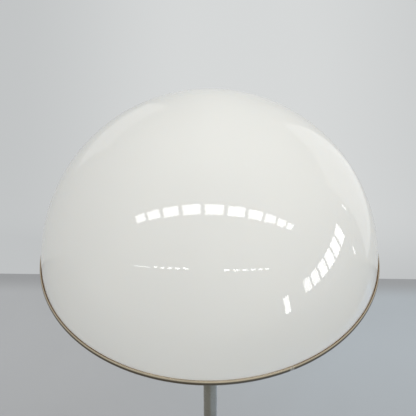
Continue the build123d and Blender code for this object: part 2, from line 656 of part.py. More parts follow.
def make_holder_lead():
    """A twin lead from the ring of terminals out through a nipple to the insert, at azimuth 0."""
    out, up = cos(radians(HOLDER_TILT)), sin(radians(HOLDER_TILT))
    inside = -CONE_WALL - NIPPLE_INSIDE - HOLDER_LEAD_RADIUS
    bend = (wall_radius + inside * out, 0, wall_level + inside * up)
    end = (wall_radius + insert_back * out, 0, wall_level + insert_back * up)
    return bent_rod(HOLDER_LEAD_RADIUS, [(HEAD_BLOCK_RADIUS, 0, bend[2]), bend, end], HOLDER_LEAD_BEND)


def make_holders():
    """Three holders with their bulbs on the cone, and the leads inside the head."""
    grouped = {"centre_contacts": [], "holder_nipples": [], "nipple_nuts": []}
    parts, leads = {}, []
    for name, azimuth in ARM_AZIMUTHS.items():
        for piece, shape in make_holder().items():
            placed = holder_place(azimuth) * shape
            if piece in grouped:
                grouped[piece].append(placed)
            else:
                parts[f"{piece}_{name}"] = placed
        leads.append(around(azimuth) * make_holder_lead())
    level = (head_block_bottom + head_block_top) / 2
    switch_lead = Pos(HEAD_BLOCK_RADIUS, 0, level) * Rot(0, 90, 0) * rod(
        HOLDER_LEAD_RADIUS, 0, switch_place - SWITCH_RADIUS - HEAD_BLOCK_RADIUS
    )
    parts["head_leads"] = solids(*leads, around(SWITCH_AZIMUTH) * switch_lead)
    for piece, shapes in grouped.items():
        parts[piece] = solids(*shapes)
    return parts


def make_spring():
    """The return spring under the piston."""
    rise = spring_top - spring_bottom - 2 * SPRING_WIRE
    helix = Helix(rise / SPRING_TURNS, rise, SPRING_RADIUS)
    return Pos(0, 0, spring_bottom + SPRING_WIRE) * sweep(
        Plane(helix @ 0, z_dir=helix % 0) * Circle(SPRING_WIRE), path=helix
    )


def make_chain():
    """A bead chain whose top socket hangs round the piston's ball."""
    hollow = BALL_RADIUS + SOCKET_PLAY
    socket = Sphere(hollow + SOCKET_WALL) - Sphere(hollow)
    depth = 3 * hollow
    socket -= Cone(0.01, depth * tan(radians(SOCKET_MOUTH)), depth, align=UPWARD)
    chain = Pos(0, 0, pivot_level) * socket
    chain += rod(LINK_RADIUS, last_bead, pivot_level - hollow - SOCKET_WALL / 2)
    for count in range(BEAD_COUNT):
        chain += Pos(0, 0, first_bead - count * BEAD_PITCH) * Sphere(BEAD_RADIUS)
    return chain


def make_bell():
    """The turned grip at the chain's end, bored over the last bead."""
    top = last_bead + BEAD_RADIUS + FIT_PLAY
    low = top - BELL_LENGTH
    foot, side = low + BELL_FOOT, BELL_RADIUS - BELL_EDGE
    widening, rise = BELL_WAIST
    waist = (BELL_TOP_RADIUS + (BELL_RADIUS - BELL_TOP_RADIUS) * widening, low + BELL_LENGTH * rise)
    bell = turned(
        Line((0, low), (side, low)),
        ThreePointArc((side, low), (BELL_RADIUS, (low + foot) / 2), (side, foot)),
        ThreePointArc((side, foot), waist, (BELL_TOP_RADIUS, top)),
        Polyline((BELL_TOP_RADIUS, top), (0, top), (0, low)),
    )
    bell -= Pos(0, 0, last_bead) * Sphere(BEAD_RADIUS + FIT_PLAY)
    return bell - rod(LINK_RADIUS + FIT_PLAY, last_bead, top + 1)


def make_switch():
    """The pull switch: its case, bushing, nut and spring, the piston that is pulled, and the bead chain."""
    floor = switch_floor
    case = rod(SWITCH_RADIUS, floor, switch_top)
    case -= rod(SWITCH_RADIUS - SWITCH_WALL, floor + SWITCH_WALL, switch_top - SWITCH_WALL)
    case -= rod(BUSHING_BORE_RADIUS, floor - 1, floor + SWITCH_WALL + 1)
    bushing = turned_points(
        (BUSHING_BORE_RADIUS, floor),
        (BUSHING_RADIUS, floor),
        (BUSHING_RADIUS, mouth_level + BUSHING_MOUTH),
        (BUSHING_MOUTH_RADIUS, mouth_level + BUSHING_MOUTH / 2),
        (BUSHING_MOUTH_RADIUS, mouth_level),
        (BUSHING_RADIUS, mouth_level),
        (BUSHING_BORE_RADIUS, mouth_level + BUSHING_MOUTH),
    )
    piston = rod(SWITCH_RADIUS - SWITCH_WALL - PISTON_PLAY, spring_top, piston_top)
    piston += rod(PULL_ROD_RADIUS, pivot_level, spring_top) + Pos(0, 0, pivot_level) * Sphere(BALL_RADIUS)
    nut_bottom = hub_top - SWITCH_NUT_HEIGHT
    pieces = {
        "switch_case": case,
        "switch_bushing": bushing,
        "switch_nut": hexagon(SWITCH_NUT_FLATS, nut_bottom, hub_top, BUSHING_RADIUS + FIT_PLAY),
        "switch_spring": make_spring(),
        "switch_piston": piston,
        "pull_chain": make_chain(),
        "pull_bell": make_bell(),
    }
    place = around(SWITCH_AZIMUTH) * Pos(switch_place, 0, 0)
    return {name: place * shape for name, shape in pieces.items()}


def make_dome():
    """The blown hemisphere with a short straight skirt."""
    outer, inner = DOME_RADIUS, DOME_RADIUS - DOME_WALL
    return turned(
        Polyline((inner, dome_centre), (inner, dome_edge), (outer, dome_edge), (outer, dome_centre)),
        CenterArc((0, dome_centre), outer, 0, 90),
        Line((0, dome_centre + outer), (0, dome_centre + inner)),
        CenterArc((0, dome_centre), inner, 0, 90),
    )


def make_rim():
    """The rolled rim band: a channel round the dome's edge with a convex outer face, split at one seam."""
    edge, lip_top = channel_radius + RIM_EDGE, rim_top + RIM_LIP_RISE
    rim = turned(
        Polyline((edge, rim_top), (channel_radius, rim_top), (channel_radius, dome_edge)),
        Polyline((channel_radius, dome_edge), (lip_outer_radius, dome_edge), (lip_outer_radius, lip_top)),
        Polyline((lip_outer_radius, lip_top), (lip_inner_radius, lip_top), (lip_inner_radius, rim_bottom)),
        Line((lip_inner_radius, rim_bottom), (edge, rim_bottom)),
        ThreePointArc((edge, rim_bottom), (rim_radius, (rim_bottom + rim_top) / 2), (edge, rim_top)),
    )
    middle, width = (lip_inner_radius + rim_radius) / 2, 2 * (rim_radius - lip_inner_radius)
    return rim - around(SEAM_AZIMUTH) * Pos(middle, 0, rim_bottom) * Box(width, SEAM_GAP, 4 * RIM_HEIGHT)


def make_joiner():
    """The strip that bridges the rim's seam on the inside, its two screws, and the holes they need."""
    low = rim_bottom + (RIM_HEIGHT + RIM_LIP_RISE - JOINER_HEIGHT) / 2
    inner = lip_inner_radius - JOINER_WALL
    strip = arc_strip(inner, lip_inner_radius, low, JOINER_HEIGHT, JOINER_ARC)
    screws, holes = [], []
    for side in (-1, 1):
        place = around(side * JOINER_SCREW_ARC) * Pos(0, 0, low + JOINER_HEIGHT / 2) * Rot(0, 90, 0)
        hole = place * rod(JOINER_SCREW_RADIUS + FIT_PLAY, inner - 1, lip_outer_radius + RIM_PLAY / 2)
        strip -= hole
        screw = rod(JOINER_SCREW_HEAD, inner - JOINER_SCREW_HEAD_HEIGHT, inner - FIT_PLAY)
        screw += rod(JOINER_SCREW_RADIUS, inner - FIT_PLAY, lip_outer_radius - FIT_PLAY)
        screws.append(place * screw)
        holes.append(hole)
    place = around(SEAM_AZIMUTH)
    return place * strip, solids(*[place * screw for screw in screws]), [place * hole for hole in holes]


def make_shade():
    """The dome, its rim with the joined seam, and the three tabs that rest on the spider."""
    strip, screws, holes = make_joiner()
    rim = make_rim()
    for hole in holes:
        rim -= hole
    arc = degrees(TAB_WIDTH / lip_inner_radius)
    tab = arc_strip(lip_inner_radius - TAB_DEPTH, lip_inner_radius, rim_bottom, TAB_WALL, arc)
    tab += arc_strip(lip_inner_radius - TAB_WALL, lip_inner_radius, rim_bottom, TAB_HEIGHT, arc)
    tab -= rod(SEAT_PIN_RADIUS + SEAT_PIN_PLAY, rim_bottom - 1, rim_bottom + TAB_WALL + 1, seat_place)
    return {
        "dome": make_dome(),
        "rim_band": rim,
        "rim_joiner": strip,
        "joiner_screws": screws,
        "rim_tabs": solids(*[around(azimuth) * tab for azimuth in ARM_AZIMUTHS.values()]),
    }


def main():
    """Builds every sub-part and writes it to its own file."""
    os.makedirs("parts", exist_ok=True)
    for make in (make_foot, make_stem, make_spider, make_head, make_holders, make_switch, make_shade):
        for name, shape in make().items():
            export_step(shape, f"parts/{name}.step")


main()
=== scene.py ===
"""Mushroom floor lamp: its fine pieces, finishes and studio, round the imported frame.

Sizes and outlines are in millimetres, as on a workshop drawing, and MM turns them into Blender's metres.
The stem stands on the origin along +Z, and the front is towards -Y.
"""

import functools
import json
import logging
from collections.abc import Callable, Iterator
from contextlib import contextmanager
from dataclasses import dataclass, field
from enum import Enum
from math import acos, asin, atan2, cos, degrees, pi, radians, sin, sqrt, tan
from typing import Any

import bpy
from mathutils import Matrix, Vector


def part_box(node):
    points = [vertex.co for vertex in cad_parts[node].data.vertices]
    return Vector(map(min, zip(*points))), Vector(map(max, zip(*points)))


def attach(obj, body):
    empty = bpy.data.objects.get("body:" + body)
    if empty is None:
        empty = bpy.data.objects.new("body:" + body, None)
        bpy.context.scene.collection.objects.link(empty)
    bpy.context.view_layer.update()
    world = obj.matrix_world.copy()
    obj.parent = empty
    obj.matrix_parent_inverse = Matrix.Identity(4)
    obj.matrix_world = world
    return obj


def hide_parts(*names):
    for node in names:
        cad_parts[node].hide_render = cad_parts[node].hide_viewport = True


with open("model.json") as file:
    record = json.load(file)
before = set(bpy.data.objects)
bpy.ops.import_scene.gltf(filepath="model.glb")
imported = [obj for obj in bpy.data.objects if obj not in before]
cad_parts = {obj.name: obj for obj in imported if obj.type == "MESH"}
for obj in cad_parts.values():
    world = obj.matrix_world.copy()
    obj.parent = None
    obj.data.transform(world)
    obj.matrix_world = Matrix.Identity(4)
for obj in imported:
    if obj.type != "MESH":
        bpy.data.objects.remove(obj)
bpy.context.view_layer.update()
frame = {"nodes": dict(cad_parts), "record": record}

MM = 0.001
MERGE = 1e-7  # metres within which two corners are one
ON_AXIS = 1e-6  # millimetres within which a point is on the axis
ROUND_STEPS = 4  # straight pieces in a rounded corner
ROUND_REACH = 0.48  # the share of a side that a rounded corner may take
RIDGE = ((0.0, 0.0), (0.22, 0.7), (0.4, 1.0), (0.58, 0.7), (0.8, 0.0))  # shares of a ridge's pitch and rise
BAR_SIDES = 32
SEAM_AZIMUTH = 296.0  # the rim's seam, to the right of the front
ROD_BORE = 5.1  # the radius of the tie rod's bore in cover, hub and cone

Colour = tuple[float, float, float]
Point = tuple[float, float]
Place = tuple[float, float, float]
Piece = bpy.types.Object

log = logging.getLogger("lamp")


class Body(Enum):
    """The bodies of the frame that pieces ride on."""

    STAND = "stand"
    SHADE = "shade"
    CHAIN = "chain"


class Side(Enum):
    """The three directions of the spider's arms and of the lamp holders, in degrees from +X."""

    BACK = 90.0
    LEFT = 210.0
    RIGHT = 330.0

    @property
    def word(self) -> str:
        """The name of the side in piece and node names."""
        return self.name.lower()


class Grain(Enum):
    """Which way the fine lines of a worked metal run."""

    ROUND = "round the stem's axis, as turned or spun"
    LENGTHWISE = "along the stem"
    NONE = "no lines, as tumbled or plated"


# ---------------------------------------------------------------- measures taken from the frame


@dataclass(frozen=True)
class Span:
    """The box of a CAD node, in millimetres."""

    low: Place
    high: Place

    @classmethod
    def of(cls, node: str) -> "Span":
        """The box of the node of this name."""
        low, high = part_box(node)
        return cls(tuple(value / MM for value in low), tuple(value / MM for value in high))

    @property
    def bottom(self) -> float:
        """The lowest level."""
        return self.low[2]

    @property
    def top(self) -> float:
        """The highest level."""
        return self.high[2]

    @property
    def height(self) -> float:
        """From the lowest to the highest level."""
        return self.top - self.bottom

    @property
    def radius(self) -> float:
        """Half the width, which is the radius of a turned node."""
        return (self.high[0] - self.low[0]) / 2

    @property
    def centre(self) -> Point:
        """The middle in plan."""
        return (self.low[0] + self.high[0]) / 2, (self.low[1] + self.high[1]) / 2


def measured(node: str) -> Any:
    """A dataclass field that starts as the box of a node."""
    return field(default_factory=lambda: Span.of(node))


# ---------------------------------------------------------------- outlines of turned pieces


class Outline:
    """The section of a turned piece: corners at a radius and a height, each sharp or rounded.

    An outline that starts on the axis is open and ends on the axis. Any other one closes on its start.
    """

    def __init__(self, radius: float, height: float, rounding: float = 0.0) -> None:
        """Starts the outline with a corner's distance from the axis, its height and its rounding."""
        self.corners: list[tuple[float, float, float]] = [(radius, height, rounding)]

    def to(self, radius: float, height: float, rounding: float = 0.0) -> "Outline":
        """Draws a straight side to a corner, which may be rounded, and returns the outline."""
        self.corners.append((radius, height, rounding))
        return self

    def arc(self, centre: Point, radius: float, start: float, end: float, steps: int) -> "Outline":
        """Draws an arc, joined to the last corner by a straight side.

        Args:
            centre: the arc's centre.
            radius: its radius.
            start: its first angle, in degrees from the outward direction.
            end: its last angle.
            steps: straight pieces in it.

        Returns:
            The outline.
        """
        for step in range(steps + 1):
            angle = radians(start + (end - start) * step / steps)
            spot = centre[0] + radius * cos(angle), centre[1] + radius * sin(angle)
            self.to(max(spot[0], 0.0) if abs(spot[0]) > ON_AXIS else 0.0, spot[1])
        return self

    def swell(self, middle: Point, end: Point, steps: int) -> "Outline":
        """Draws the arc from the last corner through a middle point to an end point.

        Args:
            middle: a point of the arc.
            end: its last point.
            steps: straight pieces in it.

        Returns:
            The outline.
        """
        first = Vector(self.corners[-1][:2])
        chord, side = Vector(middle) - first, Vector(end) - first
        scale = 2 * (chord.x * side.y - chord.y * side.x)
        offset = Vector((
            (side.y * chord.length_squared - chord.y * side.length_squared) / scale,
            (chord.x * side.length_squared - side.x * chord.length_squared) / scale,
        ))
        centre = first + offset
        start = atan2(-offset.y, -offset.x)
        last = Vector(end) - centre
        turn = (atan2(last.y, last.x) - start) % (2 * pi)
        if scale < 0:
            turn -= 2 * pi
        for step in range(1, steps + 1):
            angle = start + turn * step / steps
            self.to(centre.x + offset.length * cos(angle), centre.y + offset.length * sin(angle))
        return self

    def flank(self, heading: Point, end: Point, steps: int) -> "Outline":
        """Draws the arc that leaves the last corner along a heading and meets an end point.

        Args:
            heading: the direction at its start, of length 1.
            end: its last point.
            steps: straight pieces in it.

        Returns:
            The outline.
        """
        first, last = Vector(self.corners[-1][:2]), Vector(end)
        along, chord = Vector(heading), last - first
        across = chord - along * chord.dot(along)
        bulge = chord.length_squared / (2 * across.length)
        centre = first + across.normalized() * bulge
        middle = (first + last) / 2 - centre
        crest = centre + middle.normalized() * bulge
        return self.swell((crest.x, crest.y), end, steps)

    def grooves(self, radius: float, rise: float, first: float, pitch: float, count: int) -> "Outline":
        """Draws rounded ridges, one above or below the other.

        Args:
            radius: the radius between the ridges.
            rise: how far a ridge stands out, or in where it is negative.
            first: the level where the first one starts.
            pitch: from one to the next, negative for downwards.
            count: how many there are.

        Returns:
            The outline.
        """
        for index in range(count):
            for share, lift in RIDGE:
                self.to(radius + rise * lift, first + pitch * (index + share))
        return self

    @property
    def open(self) -> bool:
        """Whether the outline starts on the axis."""
        return self.corners[0][0] == 0.0

    def drawn(self) -> list[Vector]:
        """The outline's points, with its rounded corners as arcs.

        Returns:
            Points in the plane of radius and height.
        """
        points: list[Vector] = []
        count = len(self.corners)
        for index, (radius, height, rounding) in enumerate(self.corners):
            corner = Vector((radius, height))
            if rounding == 0.0:
                points.append(corner)
                continue
            back = Vector(self.corners[index - 1][:2]) - corner
            onward = Vector(self.corners[(index + 1) % count][:2]) - corner
            half = acos(max(-1.0, min(1.0, back.normalized().dot(onward.normalized())))) / 2
            reach = min(rounding / tan(half), ROUND_REACH * back.length, ROUND_REACH * onward.length)
            inward = (back.normalized() + onward.normalized()).normalized()
            hub = corner + inward * (reach / cos(half))
            start = corner + back.normalized() * reach - hub
            finish = corner + onward.normalized() * reach - hub
            for step in range(ROUND_STEPS + 1):
                share = step / ROUND_STEPS
                spoke = start.lerp(finish, share).normalized() * start.length
                points.append(hub + spoke)
        return points


# ---------------------------------------------------------------- the bench: how meshes are made


def only(*pieces: Piece) -> None:
    """Selects these objects and nothing else, the first of them active.

    Args:
        pieces: the objects, which may be none.
    """
    if bpy.context.mode != "OBJECT":
        bpy.ops.object.mode_set(mode="OBJECT")
    bpy.ops.object.select_all(action="DESELECT")
    for piece in pieces:
        piece.select_set(True)
    if pieces:
        bpy.context.view_layer.objects.active = pieces[0]


@contextmanager
def editing(piece: Piece) -> Iterator[None]:
    """Opens a piece in edit mode with all of it selected, and closes it again.

    Args:
        piece: the piece.

    Yields:
        Nothing, while the piece is open.
    """
    only(piece)
    bpy.ops.object.mode_set(mode="EDIT")
    bpy.ops.mesh.select_mode(type="VERT")
    bpy.ops.mesh.select_all(action="SELECT")
    yield
    bpy.ops.object.mode_set(mode="OBJECT")


def named(name: str) -> Piece:
    """Names the object that was made last, and its data.

    Args:
        name: the name.

    Returns:
        The object.
    """
    piece = bpy.context.object
    piece.name = piece.data.name = name
    return piece


def turned(name: str, outline: Outline, steps: int = 96, sweep: float = 360.0, start: float = 0.0) -> Piece:
    """Turns an outline about the Z axis: one corner is extruded from point to point and then spun.

    Args:
        name: the new piece's name.
        outline: the section, in millimetres.
        steps: pieces round the axis.
        sweep: how far round it goes, in degrees.
        start: the azimuth where it starts.

    Returns:
        The new piece.
    """
    turn = radians(start)
    points = [Vector((spot.x * cos(turn), spot.x * sin(turn), spot.y)) for spot in outline.drawn()]
    only()
    bpy.ops.mesh.primitive_plane_add(size=MM)
    piece = named(name)
    with editing(piece):
        bpy.ops.mesh.merge(type="CENTER")
        bpy.ops.transform.translate(value=points[0] * MM)
        route = points if outline.open else points + points[:1]
        for here, there in zip(route, route[1:]):
            bpy.ops.mesh.extrude_vertices_move(TRANSFORM_OT_translate={"value": (there - here) * MM})
        bpy.ops.mesh.select_all(action="SELECT")
        bpy.ops.mesh.remove_doubles(threshold=MERGE)
        if sweep < 360.0:
            bpy.ops.mesh.edge_face_add()
        bpy.ops.mesh.spin(steps=steps, angle=radians(sweep), center=(0, 0, 0), axis=(0, 0, 1))
        tidy_mesh()
    return piece


def tidy_mesh() -> None:
    """Merges the corners of the mesh in edit mode that lie in one place, and turns its faces outwards."""
    bpy.ops.mesh.select_all(action="SELECT")
    bpy.ops.mesh.remove_doubles(threshold=MERGE)
    bpy.ops.mesh.normals_make_consistent(inside=False)


def block(name: str, size: Place, middle: Place) -> Piece:
    """A box.

    Args:
        name: the new piece's name.
        size: its sides, in millimetres.
        middle: its centre.

    Returns:
        The new piece.
    """
    only()
    bpy.ops.mesh.primitive_cube_add(size=1.0, location=Vector(middle) * MM, scale=Vector(size) * MM)
    piece = named(name)
    settle(piece)
    return piece


def bar(name: str, radius: float, low: float, high: float, at: Point = (0.0, 0.0)) -> Piece:
    """A round bar that stands between two levels.

    Args:
        name: the new piece's name.
        radius: its radius, in millimetres.
        low: its lower level.
        high: its upper level.
        at: its axis, in plan.

    Returns:
        The new piece.
    """
    only()
    spot, depth = Vector((at[0], at[1], (low + high) / 2)) * MM, (high - low) * MM
    bpy.ops.mesh.primitive_cylinder_add(vertices=BAR_SIDES, radius=radius * MM, depth=depth, location=spot)
    piece = named(name)
    settle(piece)
    return piece


def settle(piece: Piece) -> None:
    """Moves a piece's place into its mesh, so that its object sits at the origin."""
    only(piece)
    bpy.ops.object.transform_apply(location=True, rotation=True, scale=True)


def placed(piece: Piece, where: Matrix) -> Piece:
    """Puts a piece somewhere and settles it there.

    Args:
        piece: the piece, drawn about the origin.
        where: the place, in millimetres.

    Returns:
        The piece.
    """
    place = where.copy()
    place.translation *= MM
    piece.matrix_world = place
    settle(piece)
    return piece


def copied(piece: Piece, name: str, where: Matrix) -> Piece:
    """Copies a piece, mesh and all, to another place.

    Args:
        piece: the piece to copy.
        name: the copy's name.
        where: how the copy is placed from the piece, in millimetres.

    Returns:
        The copy.
    """
    only(piece)
    bpy.ops.object.duplicate(linked=False)
    return placed(named(name), where)


def around(azimuth: float) -> Matrix:
    """The place turned about the stem's axis by an azimuth in degrees."""
    return Matrix.Rotation(radians(azimuth), 4, "Z")


def worked(piece: Piece, kind: str, **settings: Any) -> None:
    """Adds a modifier to a piece and applies it.

    Args:
        piece: the piece.
        kind: the modifier's type.
        settings: its settings.
    """
    only(piece)
    bpy.ops.object.modifier_add(type=kind)
    modifier = piece.modifiers[-1]
    for setting, value in settings.items():
        setattr(modifier, setting, value)
    bpy.ops.object.modifier_apply(modifier=modifier.name)


def softened(piece: Piece, width: float, sharp: float = 35.0, segments: int = 2) -> None:
    """Rounds the edges of a piece that are sharper than an angle in degrees, to a width in millimetres."""
    worked(
        piece, "BEVEL", width=width * MM, segments=segments, limit_method="ANGLE",
        angle_limit=radians(sharp), harden_normals=False,
    )


def cut(piece: Piece, *tools: Piece) -> None:
    """Takes the shapes of other meshes out of a piece and removes them.

    Args:
        piece: the piece.
        tools: the meshes.
    """
    for tool in tools:
        worked(piece, "BOOLEAN", operation="DIFFERENCE", object=tool, solver="EXACT")
        bpy.data.objects.remove(tool)


def joined(name: str, *pieces: Piece) -> Piece:
    """Makes one piece of several, which stay separate solids in one mesh.

    Args:
        name: the piece's name.
        pieces: the pieces to join.

    Returns:
        The piece.
    """
    only(*pieces)
    bpy.ops.object.join()
    pieces[0].name = pieces[0].data.name = name
    return pieces[0]


def hand_over(piece: Piece, finish: "Finish", body: Body, *nodes: str, smooth: float = 32.0) -> None:
    """Finishes a piece: smooth shading, its material, its body and the CAD nodes that it stands for.

    Args:
        piece: the finished mesh.
        finish: the finish that it gets.
        body: the body that it rides on.
        nodes: the CAD nodes that it replaces.
        smooth: the angle in degrees over which an edge stays sharp.
    """
    only(piece)
    bpy.ops.object.shade_smooth_by_angle(angle=radians(smooth))
    piece.data.materials.clear()
    piece.data.materials.append(finish.material())
    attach(piece, body.value)
    if nodes:
        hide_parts(*nodes)
    log.info("%s: %d faces, %s, on %s", piece.name, len(piece.data.polygons), finish.slot, body.value)


# ---------------------------------------------------------------- shader graphs


class Wire:
    """A value in a shader graph, on which Python's operators add Math nodes."""

    def __init__(self, graph: "Graph", socket: bpy.types.NodeSocket) -> None:
        """Wraps an output of a node in a graph."""
        self.graph = graph
        self.socket = socket

    def __add__(self, other: "Wire | float") -> "Wire":
        """The sum."""
        return self.graph.add("ShaderNodeMath", {"operation": "ADD"}, {0: self, 1: other})

    def __sub__(self, other: "Wire | float") -> "Wire":
        """The difference."""
        return self.graph.add("ShaderNodeMath", {"operation": "SUBTRACT"}, {0: self, 1: other})

    def __rsub__(self, other: float) -> "Wire":
        """The difference from a number."""
        return self.graph.add("ShaderNodeMath", {"operation": "SUBTRACT"}, {0: other, 1: self})

    def __mul__(self, other: "Wire | float") -> "Wire":
        """The product."""
        return self.graph.add("ShaderNodeMath", {"operation": "MULTIPLY"}, {0: self, 1: other})

    def __abs__(self) -> "Wire":
        """The size without its sign."""
        return self.graph.add("ShaderNodeMath", {"operation": "ABSOLUTE"}, {0: self})

    __radd__ = __add__
    __rmul__ = __mul__

    def over(self, low: float, high: float) -> "Wire":
        """A smooth step from 0 at a low value to 1 at a high one."""
        sockets = {"Value": self, 1: low, 2: high}
        return self.graph.add("ShaderNodeMapRange", {"interpolation_type": "SMOOTHSTEP"}, sockets)

    def under(self, low: float, high: float) -> "Wire":
        """A smooth step from 1 at a low value to 0 at a high one."""
        return 1.0 - self.over(low, high)

    def past(self, level: float, blur: float) -> "Wire":
        """A step from 0 to 1 at a level in millimetres, blurred by so much to either side."""
        return self.over((level - blur) * MM, (level + blur) * MM)


class Graph:
    """A material's or the world's node tree."""

    def __init__(self, tree: bpy.types.NodeTree) -> None:
        """Empties a node tree and keeps it."""
        self.tree = tree
        tree.nodes.clear()

    def add(
        self, kind: str, settings: dict[str, Any] | None = None, sockets: dict[Any, Any] | None = None,
        output: int | str = 0,
    ) -> Wire:
        """Adds a node.

        Args:
            kind: the node's type.
            settings: its settings, which are set first.
            sockets: values or wires for its inputs, by name or number.
            output: which output is wanted.

        Returns:
            The wanted output, or the node's own wire where it has none.
        """
        node = self.tree.nodes.new(kind)
        for setting, value in (settings or {}).items():
            setattr(node, setting, value)
        for socket, value in (sockets or {}).items():
            if isinstance(value, Wire):
                self.tree.links.new(value.socket, node.inputs[socket])
            else:
                node.inputs[socket].default_value = value
        return Wire(self, node.outputs[output] if node.outputs else None)

    def place(self, centre: Place = (0, 0, 0), stretch: Place = (1, 1, 1)) -> Wire:
        """Object coordinates in metres.

        Args:
            centre: the point that they are measured from.
            stretch: by how much each of them is multiplied.

        Returns:
            The coordinates.
        """
        where = self.add("ShaderNodeTexCoord", output="Object")
        shift = tuple(-middle * factor for middle, factor in zip(centre, stretch))
        return self.add("ShaderNodeMapping", sockets={"Vector": where, "Location": shift, "Scale": stretch})

    def split(self, vector: Wire) -> tuple[Wire, ...]:
        """The three parts of a vector."""
        parts = self.add("ShaderNodeSeparateXYZ", sockets={"Vector": vector}).socket.node.outputs
        return tuple(Wire(self, part) for part in parts)

    def noise(self, vector: Wire, scale: float, detail: float = 2.0, distortion: float = 0.0) -> Wire:
        """Noise from 0 to 1 at a place, with so many spots in a metre and so many finer layers."""
        sockets = {"Vector": vector, "Scale": scale, "Detail": detail, "Distortion": distortion}
        return self.add("ShaderNodeTexNoise", sockets=sockets)

    def polar(self) -> tuple[Wire, Wire, Wire]:
        """The distance from the stem's axis, the azimuth in radians and the height.

        Returns:
            The three, as wires.
        """
        across, along, height = self.split(self.add("ShaderNodeTexCoord", output="Object"))
        flat = self.add("ShaderNodeCombineXYZ", sockets={0: across, 1: along})
        radius = self.add("ShaderNodeVectorMath", {"operation": "LENGTH"}, {0: flat}, output="Value")
        azimuth = self.add("ShaderNodeMath", {"operation": "ARCTAN2"}, {0: along, 1: across})
        return radius, azimuth, height

    def vector(self, first: Wire, second: Wire, third: Wire | float) -> Wire:
        """Three values as one vector."""
        return self.add("ShaderNodeCombineXYZ", sockets={0: first, 1: second, 2: third})

    def blend(self, share: Wire, first: Any, second: Any) -> Wire:
        """A colour between two.

        Args:
            share: 0 for the first colour and 1 for the second.
            first: a colour or a wire.
            second: a colour or a wire.

        Returns:
            The colour.
        """
        colours = [value if isinstance(value, Wire) else (*value, 1.0) for value in (first, second)]
        sockets = {0: share, 6: colours[0], 7: colours[1]}
        return self.add("ShaderNodeMix", {"data_type": "RGBA"}, sockets, output=2)

    def bump(self, height: Wire, depth: float, normal: Wire | None = None) -> Wire:
        """A normal tilted by a height.

        Args:
            height: the height, from 0 to 1.
            depth: what a height of 1 is, in millimetres.
            normal: another bump under this one.

        Returns:
            The normal.
        """
        sockets = {"Height": height, "Distance": depth * MM, "Strength": 1.0}
        if normal:
            sockets["Normal"] = normal
        return self.add("ShaderNodeBump", sockets=sockets)


# ---------------------------------------------------------------- finishes


def material_of(name: str, surface: Callable[[Graph], dict[str, Any]]) -> bpy.types.Material:
    """Makes a material with one Principled shader.

    Args:
        name: the material's name.
        surface: gives the values and wires for the shader's sockets.

    Returns:
        The material.
    """
    made = bpy.data.materials.new(name)
    made.use_nodes = True
    graph = Graph(made.node_tree)
    shader = graph.add("ShaderNodeBsdfPrincipled", sockets=surface(graph))
    graph.add("ShaderNodeOutputMaterial", sockets={"Surface": shader})
    return made


@dataclass(frozen=True)
class Finish:
    """What each finish has: its slot in the record, its colour and how rough its surface is."""

    slot: str
    colour: Colour
    roughness: float

    @functools.cache
    def material(self) -> bpy.types.Material:
        """The finish's material, which is made once."""
        return material_of(f"{self.slot}_{type(self).__name__}", self.surface)

    def surface(self, graph: Graph) -> dict[str, Any]:
        """The values and wires for the sockets of the Principled shader.

        Args:
            graph: the material's graph.

        Returns:
            The values, by socket.
        """
        raise NotImplementedError


@dataclass(frozen=True)
class OpalAcrylic(Finish):
    """Blown opal acrylic: a deep white with a clear gloss, slightly wavy, with a little dust and haze."""

    drawn_colour: Colour = (0.862, 0.860, 0.815)  # where the sheet was drawn thinner
    haze_roughness: float = 0.006
    speck_roughness: float = 0.03

    def surface(self, graph: Graph) -> dict[str, Any]:
        """Mixes the shader's values.

        Args:
            graph: the material's graph.

        Returns:
            The values, by socket.
        """
        where = graph.place()
        cloud = graph.noise(where, 5.0, detail=1.5).over(0.35, 0.70)
        haze = graph.noise(where, 16.0, detail=4.0, distortion=0.8).over(0.50, 0.75)
        specks = graph.noise(where, 1300.0, detail=1.0).over(0.70, 0.80)
        wave = graph.noise(where, 9.0, detail=0.5)
        ripple = graph.noise(where, 42.0, detail=1.0)
        return {
            "Base Color": graph.blend(cloud, self.colour, self.drawn_colour),
            "Roughness": self.roughness + haze * self.haze_roughness + specks * self.speck_roughness,
            "IOR": 1.49,
            "Subsurface Weight": 0.12,
            "Subsurface Radius": (0.012, 0.010, 0.008),
            "Subsurface Scale": 1.0,
            "Normal": graph.bump(ripple, 0.006, graph.bump(wave, 0.22)),
        }


